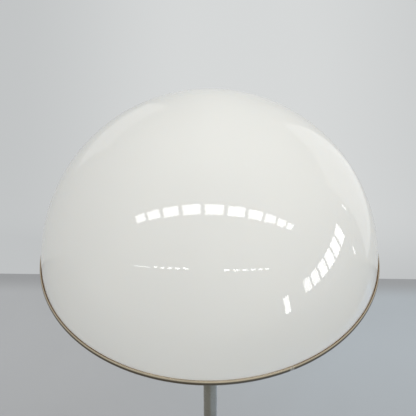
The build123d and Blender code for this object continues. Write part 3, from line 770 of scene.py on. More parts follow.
@dataclass(frozen=True)
class RolledRim(Finish):
    """Champagne metal, rolled and drawn: lines round the band, painted shade in the gap by the dome and on
    the lower face, and a painted glint at the seam.
    """

    # painted shade: a dark line in the gap between the band and the dome, stronger at the sides
    groove_shade_colour: Colour = (0.170, 0.086, 0.022)
    # painted shade on the lower part of the band's face
    flank_shade_colour: Colour = (0.125, 0.103, 0.074)
    # painted highlight: a bright glint at the seam
    seam_glint_colour: Colour = (0.86, 0.80, 0.68)
    stain: float = 0.80  # share of the colour that a stain leaves
    groove_radius: float = 248.4  # the painted shade line by the dome ends here
    groove_inner: float = 246.4  # and starts here
    groove_level: float = 1056.65  # only over this level
    groove_front: float = 0.35  # how strong it is in front, where light falls into it
    flank_radius: float = 248.2  # the face outside of here
    flank_level: float = 1055.9  # is painted dark below here, painted shade where the face turns down
    seam_glint_arc: float = 0.9  # the painted glint reaches so many degrees either side of the seam

    def surface(self, graph: Graph) -> dict[str, Any]:
        """Mixes the shader's values.

        Args:
            graph: the material's graph.

        Returns:
            The values, by socket.
        """
        radius, azimuth, height = graph.polar()
        lines = graph.noise(graph.vector(radius * 9.0, height * 9.0, azimuth * 0.02), 420.0, detail=3.0)
        stains = graph.noise(graph.place(), 26.0, detail=3.0).over(0.45, 0.75)
        # painted shade in the gap by the dome, weaker in front where light falls into it
        groove = 1.0 - radius.past(self.groove_radius, 0.25)
        groove = groove * radius.past(self.groove_inner, 0.2)
        groove = groove * height.past(self.groove_level, 0.25)
        cosine = graph.add("ShaderNodeMath", {"operation": "COSINE"}, {0: azimuth})
        sideways = abs(radius * cosine).over(0.05, 0.16)
        groove = groove * (self.groove_front + sideways * (1.0 - self.groove_front))
        seam = radians(SEAM_AZIMUTH - 360.0)
        # painted glint at the seam, brighter and a little smoother
        seam_glint = abs(azimuth - seam).under(radians(0.5 * self.seam_glint_arc), radians(self.seam_glint_arc))
        stained = tuple(value * self.stain for value in self.colour)
        colour = graph.blend(stains * 0.7 + lines * 0.3, self.colour, stained)
        # painted shade on the lower part of the face
        flank = 1.0 - height.past(self.flank_level, 0.9)
        flank = flank * radius.past(self.flank_radius, 0.2)
        colour = graph.blend(flank * 0.95, colour, self.flank_shade_colour)
        colour = graph.blend(seam_glint * 0.45, colour, self.seam_glint_colour)
        return {
            "Base Color": graph.blend(groove, colour, self.groove_shade_colour),
            "Metallic": 1.0 - groove * 0.7,
            "Roughness": self.roughness + lines * 0.10 + stains * 0.08 - seam_glint * 0.06 + groove * 0.3,
            "Normal": graph.bump(lines, 0.012),
        }


@dataclass(frozen=True)
class WorkedMetal(Finish):
    """A metal with fine lines from its working, cloudy handling marks and a second tint."""

    tint: Colour
    grain: Grain
    lines_depth: float = 0.010
    marks_roughness: float = 0.10

    def surface(self, graph: Graph) -> dict[str, Any]:
        """Mixes the shader's values.

        Args:
            graph: the material's graph.

        Returns:
            The values, by socket.
        """
        where = graph.place()
        marks = graph.noise(where, 34.0, detail=4.0, distortion=0.5).over(0.42, 0.74)
        fine = graph.noise(where, 900.0, detail=2.0)
        lines = fine
        if self.grain is Grain.ROUND:
            radius, azimuth, height = graph.polar()
            lines = graph.noise(graph.vector(radius, height, azimuth * 0.004), 2600.0, detail=3.0)
        if self.grain is Grain.LENGTHWISE:
            lines = graph.noise(graph.place(stretch=(1.0, 1.0, 0.006)), 3200.0, detail=3.0)
        tint_share = marks * 0.6 + lines * 0.4
        return {
            "Base Color": graph.blend(tint_share, self.colour, self.tint),
            "Metallic": 1.0,
            "Roughness": self.roughness + marks * self.marks_roughness + lines * 0.06,
            "Normal": graph.bump(fine, 0.003, graph.bump(lines, self.lines_depth)),
        }


@dataclass(frozen=True)
class CastIron(Finish):
    """Sand-cast iron under a black primer."""

    def surface(self, graph: Graph) -> dict[str, Any]:
        """Mixes the shader's values.

        Args:
            graph: the material's graph.

        Returns:
            The values, by socket.
        """
        where = graph.place()
        sand = graph.noise(where, 420.0, detail=5.0)
        bare = graph.noise(where, 60.0, detail=5.0).over(0.62, 0.74)
        return {
            "Base Color": graph.blend(bare, self.colour, (0.13, 0.115, 0.10)),
            "Roughness": self.roughness + sand * 0.15,
            "Metallic": bare * 0.5,
            "Normal": graph.bump(sand, 0.25),
        }


@dataclass(frozen=True)
class Felt(Finish):
    """Pressed wool felt: short fibres one over another, a little fluff and trodden patches."""

    fluff_colour: Colour = (0.16, 0.155, 0.15)

    def surface(self, graph: Graph) -> dict[str, Any]:
        """Mixes the shader's values.

        Args:
            graph: the material's graph.

        Returns:
            The values, by socket.
        """
        long_ways = graph.noise(graph.place(stretch=(1.0, 0.16, 1.0)), 1500.0, detail=3.0, distortion=1.2)
        cross_ways = graph.noise(graph.place(stretch=(0.16, 1.0, 1.0)), 1500.0, detail=3.0, distortion=1.2)
        trodden = graph.noise(graph.place(), 22.0, detail=3.0)
        fibres = long_ways * 0.5 + cross_ways * 0.5
        fluff = fibres.over(0.48, 0.72)
        return {
            "Base Color": graph.blend(fluff * 0.7 + trodden * 0.15, self.colour, self.fluff_colour),
            "Roughness": self.roughness - trodden * 0.10,
            "Sheen Weight": 0.35,
            "Sheen Roughness": 0.6,
            "Normal": graph.bump(fibres, 0.35),
        }


@dataclass(frozen=True)
class Rubber(Finish):
    """Moulded rubber with a faint bloom."""

    bloom_colour: Colour

    def surface(self, graph: Graph) -> dict[str, Any]:
        """Mixes the shader's values.

        Args:
            graph: the material's graph.

        Returns:
            The values, by socket.
        """
        where = graph.place()
        bloom = graph.noise(where, 160.0, detail=4.0).over(0.45, 0.75)
        skin = graph.noise(where, 1600.0, detail=2.0)
        return {
            "Base Color": graph.blend(bloom * 0.5, self.colour, self.bloom_colour),
            "Roughness": self.roughness + bloom * 0.12,
            "Normal": graph.bump(skin, 0.02),
        }


@dataclass(frozen=True)
class Moulding(Finish):
    """Moulded plastic: flow marks in the colour, a fine skin and a little wear in the gloss."""

    flow_colour: Colour
    skin_depth: float = 0.006

    def surface(self, graph: Graph) -> dict[str, Any]:
        """Mixes the shader's values.

        Args:
            graph: the material's graph.

        Returns:
            The values, by socket.
        """
        where = graph.place()
        flow = graph.noise(graph.place(stretch=(1.0, 1.0, 0.4)), 75.0, detail=3.0, distortion=2.0)
        wear = graph.noise(where, 120.0, detail=4.0).over(0.5, 0.8)
        skin = graph.noise(where, 1800.0, detail=2.0)
        return {
            "Base Color": graph.blend(flow.over(0.35, 0.70), self.colour, self.flow_colour),
            "Roughness": self.roughness + wear * 0.14,
            "IOR": 1.52,
            "Normal": graph.bump(skin, self.skin_depth),
        }


@dataclass(frozen=True)
class Porcelain(Finish):
    """Glazed porcelain with pinholes and a glaze that pools a little."""

    def surface(self, graph: Graph) -> dict[str, Any]:
        """Mixes the shader's values.

        Args:
            graph: the material's graph.

        Returns:
            The values, by socket.
        """
        where = graph.place()
        pools = graph.noise(where, 110.0, detail=1.0)
        pinholes = graph.noise(where, 1500.0, detail=0.0).over(0.76, 0.80)
        return {
            "Base Color": graph.blend(pinholes, self.colour, (0.42, 0.38, 0.33)),
            "Roughness": self.roughness + pinholes * 0.4,
            "Coat Weight": 1.0 - pinholes,
            "Normal": graph.bump(pools, 0.08),
        }


@dataclass(frozen=True)
class OpalGlass(Finish):
    """A bulb's glass, coated white inside: a soft powdery white under a clear hard gloss."""

    powder_colour: Colour = (0.80, 0.80, 0.775)

    def surface(self, graph: Graph) -> dict[str, Any]:
        """Mixes the shader's values.

        Args:
            graph: the material's graph.

        Returns:
            The values, by socket.
        """
        where = graph.place()
        powder = graph.noise(where, 55.0, detail=5.0, distortion=0.6)
        prints = graph.noise(where, 70.0, detail=3.0).over(0.60, 0.80)
        return {
            "Base Color": graph.blend(powder.over(0.3, 0.7), self.colour, self.powder_colour),
            "Roughness": self.roughness,
            "Coat Weight": 1.0 - prints * 0.3,
            "Coat Roughness": 0.03,
            "Normal": graph.bump(powder, 0.01),
        }


DOME = OpalAcrylic("dome", (0.885, 0.882, 0.832), 0.004)
RIM = RolledRim("rim_metal", (0.69, 0.595, 0.445), 0.20)
NICKEL = (0.365, 0.348, 0.292)
NICKEL_TINT = (0.290, 0.275, 0.220)
NICKEL_TURNED = WorkedMetal("satin_nickel", NICKEL, 0.26, NICKEL_TINT, Grain.ROUND)
NICKEL_DRAWN = WorkedMetal("satin_nickel", NICKEL, 0.22, NICKEL_TINT, Grain.LENGTHWISE)
NICKEL_FLAT = WorkedMetal("satin_nickel", NICKEL, 0.30, NICKEL_TINT, Grain.NONE)
ZINC = WorkedMetal("zinc_steel", (0.60, 0.60, 0.58), 0.30, (0.50, 0.46, 0.33), Grain.NONE)
BRASS = WorkedMetal("brass", (0.72, 0.55, 0.28), 0.24, (0.40, 0.27, 0.12), Grain.NONE)
CAP_METAL = WorkedMetal("bulb_cap_metal", (0.66, 0.66, 0.65), 0.26, (0.50, 0.49, 0.46), Grain.NONE)
IRON = CastIron("cast_iron", (0.045, 0.045, 0.047), 0.55)
FELT = Felt("felt", (0.035, 0.035, 0.037), 0.95)
BLACK_RUBBER = Rubber("black_rubber", (0.022, 0.022, 0.023), 0.55, (0.075, 0.075, 0.078))
SILICONE = Rubber("silicone", (0.74, 0.74, 0.70), 0.42, (0.82, 0.82, 0.80))
TERMINALS = Moulding("terminal_plastic", (0.70, 0.68, 0.62), 0.45, (0.62, 0.59, 0.52))
SHEATH = Moulding("lead_sheath", (0.80, 0.80, 0.78), 0.38, (0.74, 0.73, 0.70))
PHENOLIC = Moulding("white_phenolic", (0.80, 0.79, 0.74), 0.18, (0.74, 0.72, 0.65), skin_depth=0.004)
GLAZE = Porcelain("porcelain", (0.84, 0.83, 0.79), 0.10)
BULB_GLASS = OpalGlass("opal_glass", (0.88, 0.88, 0.86), 0.22)

PLAIN_FINISHES: dict[str, Finish] = {
    finish.slot: finish
    for finish in (
        DOME, RIM, NICKEL_FLAT, ZINC, BRASS, CAP_METAL, IRON, FELT, BLACK_RUBBER, SILICONE, TERMINALS,
        SHEATH, PHENOLIC, GLAZE, BULB_GLASS,
    )
}


# ---------------------------------------------------------------- screws, which several sub-assemblies use


@dataclass(frozen=True)
class PanScrew:
    """A pan-head screw with a cross recess, drawn with its head's seat at height 0 and its head upwards."""

    shank_radius: float
    head_radius: float
    head_height: float
    length: float
    recess_width: float = 0.28  # shares of the head's radius
    recess_reach: float = 1.15
    recess_depth: float = 0.55  # share of the head's height

    def build(self, name: str) -> Piece:
        """Models the screw.

        Args:
            name: the new piece's name.

        Returns:
            The screw.
        """
        head, top = self.head_radius, self.head_height
        outline = Outline(0.0, top).to(0.62 * head, 0.96 * top, 0.5 * head).to(head, 0.45 * top, 0.3 * head)
        outline.to(head, 0.0, 0.08 * head).to(self.shank_radius, 0.0)
        outline.to(self.shank_radius, -self.length, 0.2).to(0.0, -self.length)
        screw = turned(name, outline, steps=32)
        size = (self.recess_width * head, self.recess_reach * head, 2 * self.recess_depth * top)
        for index, angle in enumerate((0.0, 90.0)):
            cut(screw, placed(block(f"recess_{index}", size, (0.0, 0.0, top)), around(angle)))
        return screw


# ---------------------------------------------------------------- shade


@dataclass
class Shade:
    """The opal dome in its metal rim, with the rim's joiner and its three seats."""

    wall: float = 4.0
    skirt: float = 1.0
    channel_floor: float = 2.0
    glue_gap: float = 0.2
    lip_wall: float = 1.5
    lip_rise: float = 1.0
    face_edge: float = 1.3
    proud: float = 2.8
    seam_gap: float = 0.4
    tab_depth: float = 13.0
    tab_width: float = 14.0
    tab_wall: float = 2.0
    tab_hole: float = 2.6
    joiner_wall: float = 1.0
    joiner_arc: float = 11.0
    joiner_screw_arc: float = 3.2
    joiner_screw: PanScrew = PanScrew(1.25, 2.4, 1.0, 2.4)
    dome_span: Span = measured("dome")
    rim_span: Span = measured("rim_band")
    tab_span: Span = measured("rim_tabs")
    joiner_span: Span = measured("rim_joiner")

    @property
    def lip_inner(self) -> float:
        """The rim's inside radius."""
        return self.dome_span.radius - self.wall - self.glue_gap - self.lip_wall

    @property
    def seat(self) -> float:
        """How far from the axis the seat pins stand."""
        return self.lip_inner - self.tab_depth / 2

    def dome(self) -> Piece:
        """The blown hemisphere, 4 mm thick, with its short straight skirt and a polished edge.

        Returns:
            The dome.
        """
        outer, edge = self.dome_span.radius, self.dome_span.bottom
        centre = edge + self.skirt
        outline = Outline(0.0, centre + outer).arc((0.0, centre), outer, 89.0, 0.0, 72)
        outline.to(outer, edge, 0.5).to(outer - self.wall, edge, 0.5)
        outline.arc((0.0, centre), outer - self.wall, 0.0, 89.0, 72).to(0.0, centre + outer - self.wall)
        dome = turned("dome_shell", outline, steps=192)
        hand_over(dome, DOME, Body.SHADE, "dome")
        return dome

    def rim(self) -> None:
        """The rolled band: a channel round the dome's edge with a convex face, open at its seam."""
        low, top = self.rim_span.bottom, self.rim_span.top
        face_top = top - self.lip_rise
        channel = self.dome_span.radius + self.glue_gap
        face, belly = channel + self.face_edge, channel + self.proud
        lip_outer = self.lip_inner + self.lip_wall
        outline = Outline(face, face_top, 0.25).to(channel, face_top, 0.2)
        outline.to(channel, low + self.channel_floor).to(lip_outer, low + self.channel_floor)
        outline.to(lip_outer, top, 0.3).to(self.lip_inner, top, 0.6)
        outline.to(self.lip_inner, low, 0.6).to(face, low)
        outline.swell((belly, (low + face_top) / 2), (face, face_top - 0.3), 14)
        gap = degrees(self.seam_gap / belly)
        start = SEAM_AZIMUTH + gap / 2
        rim = turned("rim_ring", outline, steps=240, sweep=360.0 - gap, start=start)
        hand_over(rim, RIM, Body.SHADE, "rim_band")

    def tabs(self) -> None:
        """Three folded seats inside the rim, each with the hole that its pin stands in."""
        low, top, inner = self.tab_span.bottom, self.tab_span.top, self.lip_inner
        inside, tip, ledge = inner - self.tab_wall, inner - self.tab_depth, low + self.tab_wall
        outline = Outline(inner, low).to(tip, low, 0.4).to(tip, ledge, 0.4)
        outline.to(inside, ledge, 0.8).to(inside, top, 0.5).to(inner, top, 0.3)
        arc = degrees(self.tab_width / inner)
        tab = turned("tab", outline, steps=8, sweep=arc, start=-arc / 2)
        softened(tab, 0.4, sharp=60.0)
        cut(tab, bar("pin_hole", self.tab_hole, low - 1.0, low + self.tab_wall + 1.0, (self.seat, 0.0)))
        tabs = [copied(tab, f"tab_{side.word}", around(side.value)) for side in Side]
        bpy.data.objects.remove(tab)
        hand_over(joined("rim_seats", *tabs), RIM, Body.SHADE, "rim_tabs")

    def joiner(self) -> None:
        """The strip behind the rim's seam and its two screws."""
        low, top, outer = self.joiner_span.bottom, self.joiner_span.top, self.lip_inner
        inner = outer - self.joiner_wall
        outline = Outline(inner, low).to(outer, low).to(outer, top).to(inner, top)
        start = SEAM_AZIMUTH - self.joiner_arc / 2
        strip = turned("joiner_strip", outline, steps=16, sweep=self.joiner_arc, start=start)
        softened(strip, 0.25, sharp=50.0)
        hand_over(strip, RIM, Body.SHADE, "rim_joiner")
        inward = Matrix.Translation((inner - 0.05, 0.0, (low + top) / 2)) @ Matrix.Rotation(-pi / 2, 4, "Y")
        screws = []
        for side in (-1, 1):
            place = around(SEAM_AZIMUTH + side * self.joiner_screw_arc) @ inward
            screws.append(placed(self.joiner_screw.build(f"joiner_screw_{side}"), place))
        hand_over(joined("joiner_screw_pair", *screws), ZINC, Body.SHADE, "joiner_screws")

    def build(self) -> Piece:
        """Models and dresses the whole shade.

        Returns:
            The dome.
        """
        dome = self.dome()
        self.rim()
        self.tabs()
        self.joiner()
        return dome


# ---------------------------------------------------------------- foot and stem


@dataclass
class Foot:
    """The spun cover on its felt, with the collar round the stem and the cord's gland."""

    cover_wall: float = 1.2
    cover_flat: float = 34.0
    cover_edge_height: float = 18.0
    cover_edge_round: float = 4.0
    collar_play: float = 0.1
    collar_neck: float = 2.9
    stem_wall: float = 1.5
    gland_bore: float = 3.3
    gland_neck: float = 4.75
    gland_flange: float = 2.2
    cover_span: Span = measured("base_cover")
    felt_span: Span = measured("base_felt")
    collar_span: Span = measured("foot_collar")
    gland_span: Span = measured("cord_gland")
    stem_span: Span = measured("stem_tube")

    @property
    def gland_place(self) -> Matrix:
        """The middle of the cover's wall at the back.

        Returns:
            The place, with local +Z outwards.
        """
        level = (self.gland_span.bottom + self.gland_span.top) / 2
        where = Matrix.Translation((0.0, self.cover_span.radius - self.cover_wall / 2, level))
        return where @ Matrix.Rotation(-pi / 2, 4, "X")

    def cover(self) -> None:
        """The spun cover: upright edge, shallow cone and level seat, with the gland's hole."""
        outer, low, top = self.cover_span.radius, self.cover_span.bottom, self.cover_span.top
        wall, corner = self.cover_wall, self.cover_edge_height
        outline = Outline(outer, low, 0.5).to(outer, corner, self.cover_edge_round)
        outline.to(self.cover_flat, top, 9.0).to(ROD_BORE, top, 0.2).to(ROD_BORE, top - wall)
        outline.to(self.cover_flat, top - wall, 9.0)
        outline.to(outer - wall, corner - wall, self.cover_edge_round - wall).to(outer - wall, low, 0.5)
        cover = turned("foot_cover", outline, steps=192)
        hole = bar("gland_hole", self.gland_neck, -3 * self.cover_wall, 3 * self.cover_wall)
        cut(cover, placed(hole, self.gland_place))
        hand_over(cover, NICKEL_TURNED, Body.STAND, "base_cover")

    def felt(self) -> None:
        """The felt disc under the foot, its cut edge a little soft."""
        radius, low, top = self.felt_span.radius, self.felt_span.bottom, self.felt_span.top
        outline = Outline(0.0, top).to(0.5 * radius, top).to(radius - 0.3, top, 0.7)
        outline.to(radius, (low + top) / 2, 0.8).to(radius - 0.3, low, 0.7)
        outline.to(0.5 * radius, low).to(0.0, low)
        hand_over(turned("felt_disc", outline, steps=144), FELT, Body.STAND, "base_felt")

    def gland(self) -> None:
        """The rubber gland: two flanges that grip the cover's wall, and a ribbed mouth."""
        half, flange = self.cover_wall / 2, (self.gland_span.top - self.gland_span.bottom) / 2
        end, bore = half + self.gland_flange, self.gland_bore
        outline = Outline(bore, end, 0.5).to(bore, -end, 0.4).to(flange, -end, 0.5).to(flange, -half, 0.3)
        outline.to(self.gland_neck, -half).to(self.gland_neck, half).to(flange, half, 0.3)
        outline.to(flange, end - self.gland_flange / 2, 0.4).to(0.86 * flange, end - 0.25, 0.2)
        outline.to(0.78 * flange, end - 0.25, 0.15).to(0.74 * flange, end, 0.2)
        gland = placed(turned("gland", outline, steps=64), self.gland_place)
        hand_over(gland, BLACK_RUBBER, Body.STAND, "cord_gland")

    def collar(self) -> None:
        """The turned collar: an upright edge, a hollow curve and a slim top with two fine lines."""
        span, bore = self.collar_span, self.stem_span.radius + self.collar_play
        low, top, outer = span.bottom, span.top, span.radius
        neck, edge = bore + self.collar_neck, low + 0.25 * span.height
        hollow = outer - bore - self.collar_neck
        outline = Outline(bore, top, 0.3).to(bore, low).to(outer, low, 0.3).to(outer, edge, 0.5)
        outline.arc((outer, edge + hollow), hollow, 262.0, 180.0, 14)
        outline.grooves(neck, -0.35, edge + hollow + 0.8, 1.3, 2).to(neck, top, 0.7)
        hand_over(turned("stem_collar", outline, steps=96), NICKEL_TURNED, Body.STAND, "foot_collar")

    def stem(self) -> None:
        """The drawn tube of the stem, its ends broken."""
        outer, low, top = self.stem_span.radius, self.stem_span.bottom, self.stem_span.top
        inner = outer - self.stem_wall
        outline = Outline(outer, low, 0.25)
        for share in range(1, 12):
            outline.to(outer, low + (top - low) * share / 12)
        outline.to(outer, top, 0.3).to(inner, top, 0.2).to(inner, low, 0.2)
        hand_over(turned("stem", outline, steps=96), NICKEL_DRAWN, Body.STAND, "stem_tube")

    def build(self) -> None:
        """Models and dresses the foot and the stem."""
        self.cover()
        self.felt()
        self.gland()
        self.collar()
        self.stem()


# ---------------------------------------------------------------- spider


@dataclass
class Spider:
    """The hub on the stem's top, its three arms, and the pins and pads that the shade rests on."""

    seat: float
    spigot_radius: float = 9.4
    spigot: float = 14.0
    arm_inner: float = 9.0
    arm_width: float = 12.0
    arm_play: float = 0.05
    arm_round_steps: int = 10
    arm_round: float = 86.0  # how far round the end of an arm goes, in degrees
    screw_place: float = 16.5
    pin_radius: float = 2.2
    pin_head: float = 4.0
    play: float = 0.05  # between the pins or screws and their holes
    pad_radius: float = 5.5
    screw: PanScrew = PanScrew(2.0, 3.6, 2.2, 9.6)
    hub_span: Span = measured("spider_hub")
    arm_span: Span = measured("spider_arm_back")
    pin_span: Span = measured("seat_pins")
    pad_span: Span = measured("seat_washers")

    def hub(self) -> None:
        """The turned hub with a slot for each arm."""
        top, outer = self.hub_span.top, self.hub_span.radius
        flange = self.hub_span.bottom + self.spigot
        outline = Outline(ROD_BORE, top, 0.2).to(ROD_BORE, self.hub_span.bottom)
        outline.to(self.spigot_radius, self.hub_span.bottom, 0.8).to(self.spigot_radius, flange - 0.2)
        outline.to(outer, flange, 1.2).to(outer, flange + 2.2, 0.2).to(outer - 0.5, flange + 2.6, 0.2)
        outline.to(outer - 0.5, flange + 3.0, 0.2).to(outer, flange + 3.4, 0.2).to(outer, top, 0.4)
        hub = turned("hub", outline, steps=96)
        width, low = self.arm_width + 2 * self.arm_play, self.arm_span.bottom
        size = (outer, width, 2 * (top - low))
        for side in Side:
            slot = block("slot", size, (self.arm_inner - self.arm_play + outer / 2, 0.0, top))
            cut(hub, placed(slot, around(side.value)))
        hand_over(hub, NICKEL_TURNED, Body.STAND, "spider_hub")

    def arm(self, name: str) -> Piece:
        """One flat arm along +X: a bar whose outer end is extruded round in steps.

        Args:
            name: the new piece's name.

        Returns:
            The arm.
        """
        low, top, half = self.arm_span.bottom, self.arm_span.top, self.arm_width / 2
        size = (self.seat - self.arm_inner, self.arm_width, top - low)
        arm = block(name, size, ((self.seat + self.arm_inner) / 2, 0.0, (low + top) / 2))
        with editing(arm):
            bpy.ops.mesh.select_mode(type="FACE")
            bpy.ops.mesh.select_all(action="DESELECT")
            bpy.ops.object.mode_set(mode="OBJECT")
            for face in arm.data.polygons:
                face.select = face.normal.x > 0.9
            bpy.ops.object.mode_set(mode="EDIT")
            part = radians(self.arm_round / self.arm_round_steps)
            for step in range(self.arm_round_steps):
                here, there = part * step, part * (step + 1)
                move = (half * (sin(there) - sin(here)) * MM, 0.0, 0.0)
                bpy.ops.mesh.extrude_region_move(TRANSFORM_OT_translate={"value": move})
                shrink = (1.0, cos(there) / cos(here), 1.0)
                bpy.ops.transform.resize(value=shrink, center_override=(0, 0, 0))
            tidy_mesh()
        softened(arm, 0.45, sharp=50.0)
        for radius, where in ((self.screw.shank_radius, self.screw_place), (self.pin_radius, self.seat)):
            cut(arm, bar("hole", radius + self.play, low - 1.0, top + 1.0, (where, 0.0)))
        return arm

    def pin(self, name: str) -> Piece:
        """One seat pin, with a riveted head under the arm and a coned tip.

        Args:
            name: the new piece's name.

        Returns:
            The pin, at its seat along +X.
        """
        low, top, arm_low = self.pin_span.bottom, self.pin_span.top, self.arm_span.bottom
        outline = Outline(0.0, low).to(2.4, low, 1.5).to(self.pin_head, low + 0.9, 0.5)
        outline.to(self.pin_head, arm_low, 0.1).to(self.pin_radius, arm_low)
        outline.to(self.pin_radius, top - 1.3, 0.4).to(self.pin_radius / 2, top, 0.4).to(0.0, top)
        return placed(turned(name, outline, steps=40), Matrix.Translation((self.seat, 0.0, 0.0)))

    def pad(self, name: str) -> Piece:
        """One silicone pad round its pin, its edges rounded and its side slightly hollow.

        Args:
            name: the new piece's name.

        Returns:
            The pad, at its seat along +X.
        """
        low, top, inner = self.pad_span.bottom, self.pad_span.top, self.pin_radius + self.play
        outline = Outline(inner, low, 0.2).to(self.pad_radius, low, 0.5)
        outline.to(self.pad_radius - 0.15, (low + top) / 2, 0.4)
        outline.to(self.pad_radius, top, 0.5).to(inner, top, 0.3)
        return placed(turned(name, outline, steps=48), Matrix.Translation((self.seat, 0.0, 0.0)))

    def build(self) -> None:
        """Models and dresses the spider."""
        self.hub()
        flange = self.hub_span.bottom + self.spigot
        downwards = Matrix.Translation((self.screw_place, 0.0, flange)) @ Matrix.Rotation(pi, 4, "X")
        patterns = {
            "arm": self.arm("arm"),
            "pin": self.pin("pin"),
            "pad": self.pad("pad"),
            "screw": placed(self.screw.build("screw"), downwards),
        }
        made = {
            kind: [copied(pattern, f"{kind}_{side.word}", around(side.value)) for side in Side]
            for kind, pattern in patterns.items()
        }
        for pattern in patterns.values():
            bpy.data.objects.remove(pattern)
        for side, arm in zip(Side, made["arm"]):
            hand_over(arm, NICKEL_FLAT, Body.STAND, f"spider_arm_{side.word}")
        hand_over(joined("arm_pins", *made["pin"]), ZINC, Body.STAND, "seat_pins")
        hand_over(joined("arm_pads", *made["pad"]), SILICONE, Body.STAND, "seat_washers")
        hand_over(joined("hub_screws", *made["screw"]), ZINC, Body.STAND, "arm_screws")


# ---------------------------------------------------------------- head, lamp holders and bulbs


@dataclass
class Head:
    """The cone on the hub, whose wall stands square to the lamp holders, and its crowned lid."""

    tilt: float = 30.0
    wall: float = 1.4
    floor: float = 1.6
    lid_edge: float = 1.6
    lid_play: float = 0.1
    cone_span: Span = measured("head_cone")
    lid_span: Span = measured("head_cap")

    @property
    def top_radius(self) -> float:
        """The cone's radius at its top."""
        return self.cone_span.radius - self.cone_span.height * tan(radians(self.tilt))

    def holder_place(self, side: Side) -> Matrix:
        """The place on the cone's wall where a holder's axis leaves it.

        Args:
            side: the holder's side.

        Returns:
            The place, with local +Z outwards.
        """
        radius = (self.cone_span.radius + self.top_radius) / 2
        level = self.cone_span.bottom + self.cone_span.height / 2
        lean = Matrix.Rotation(radians(90.0 - self.tilt), 4, "Y")
        return around(side.value) @ Matrix.Translation((radius, 0.0, level)) @ lean

    def cone(self) -> None:
        """The spun cone, its lower edge rolled round and its wall 1.4 mm thick."""
        low, top, outer = self.cone_span.bottom, self.cone_span.top, self.cone_span.radius
        inset, lean = self.wall / cos(radians(self.tilt)), tan(radians(self.tilt))
        outline = Outline(ROD_BORE, low, 0.2).to(outer, low, 0.9).to(self.top_radius, top, 0.3)
        outline.to(self.top_radius - inset, top).to(outer - inset - self.floor * lean, low + self.floor)
        outline.to(ROD_BORE, low + self.floor)
        hand_over(turned("cone", outline, steps=144), NICKEL_TURNED, Body.STAND, "head_cone")

    def lid(self) -> None:
        """The lid: a spigot in the cone, a brim and a low crown."""
        low, top, edge = self.lid_span.bottom, self.lid_span.top, self.lid_span.radius
        brim = self.cone_span.top + self.lid_edge
        crown = top - brim
        sphere = (edge**2 + crown**2) / (2 * crown)
        spread = degrees(asin(edge / sphere))
        spigot = self.top_radius - self.wall / cos(radians(self.tilt)) - self.lid_play
        outline = Outline(0.0, top).arc((0.0, top - sphere), sphere, 89.0, 90.0 - 0.96 * spread, 22)
        outline.to(edge, brim, 0.5).to(edge, self.cone_span.top, 0.3).to(spigot, self.cone_span.top)
        outline.to(spigot, low, 0.5).to(0.0, low)
        hand_over(turned("lid", outline, steps=112), NICKEL_TURNED, Body.STAND, "head_cap")

    def build(self) -> None:
        """Models and dresses the head."""
        self.cone()
        self.lid()


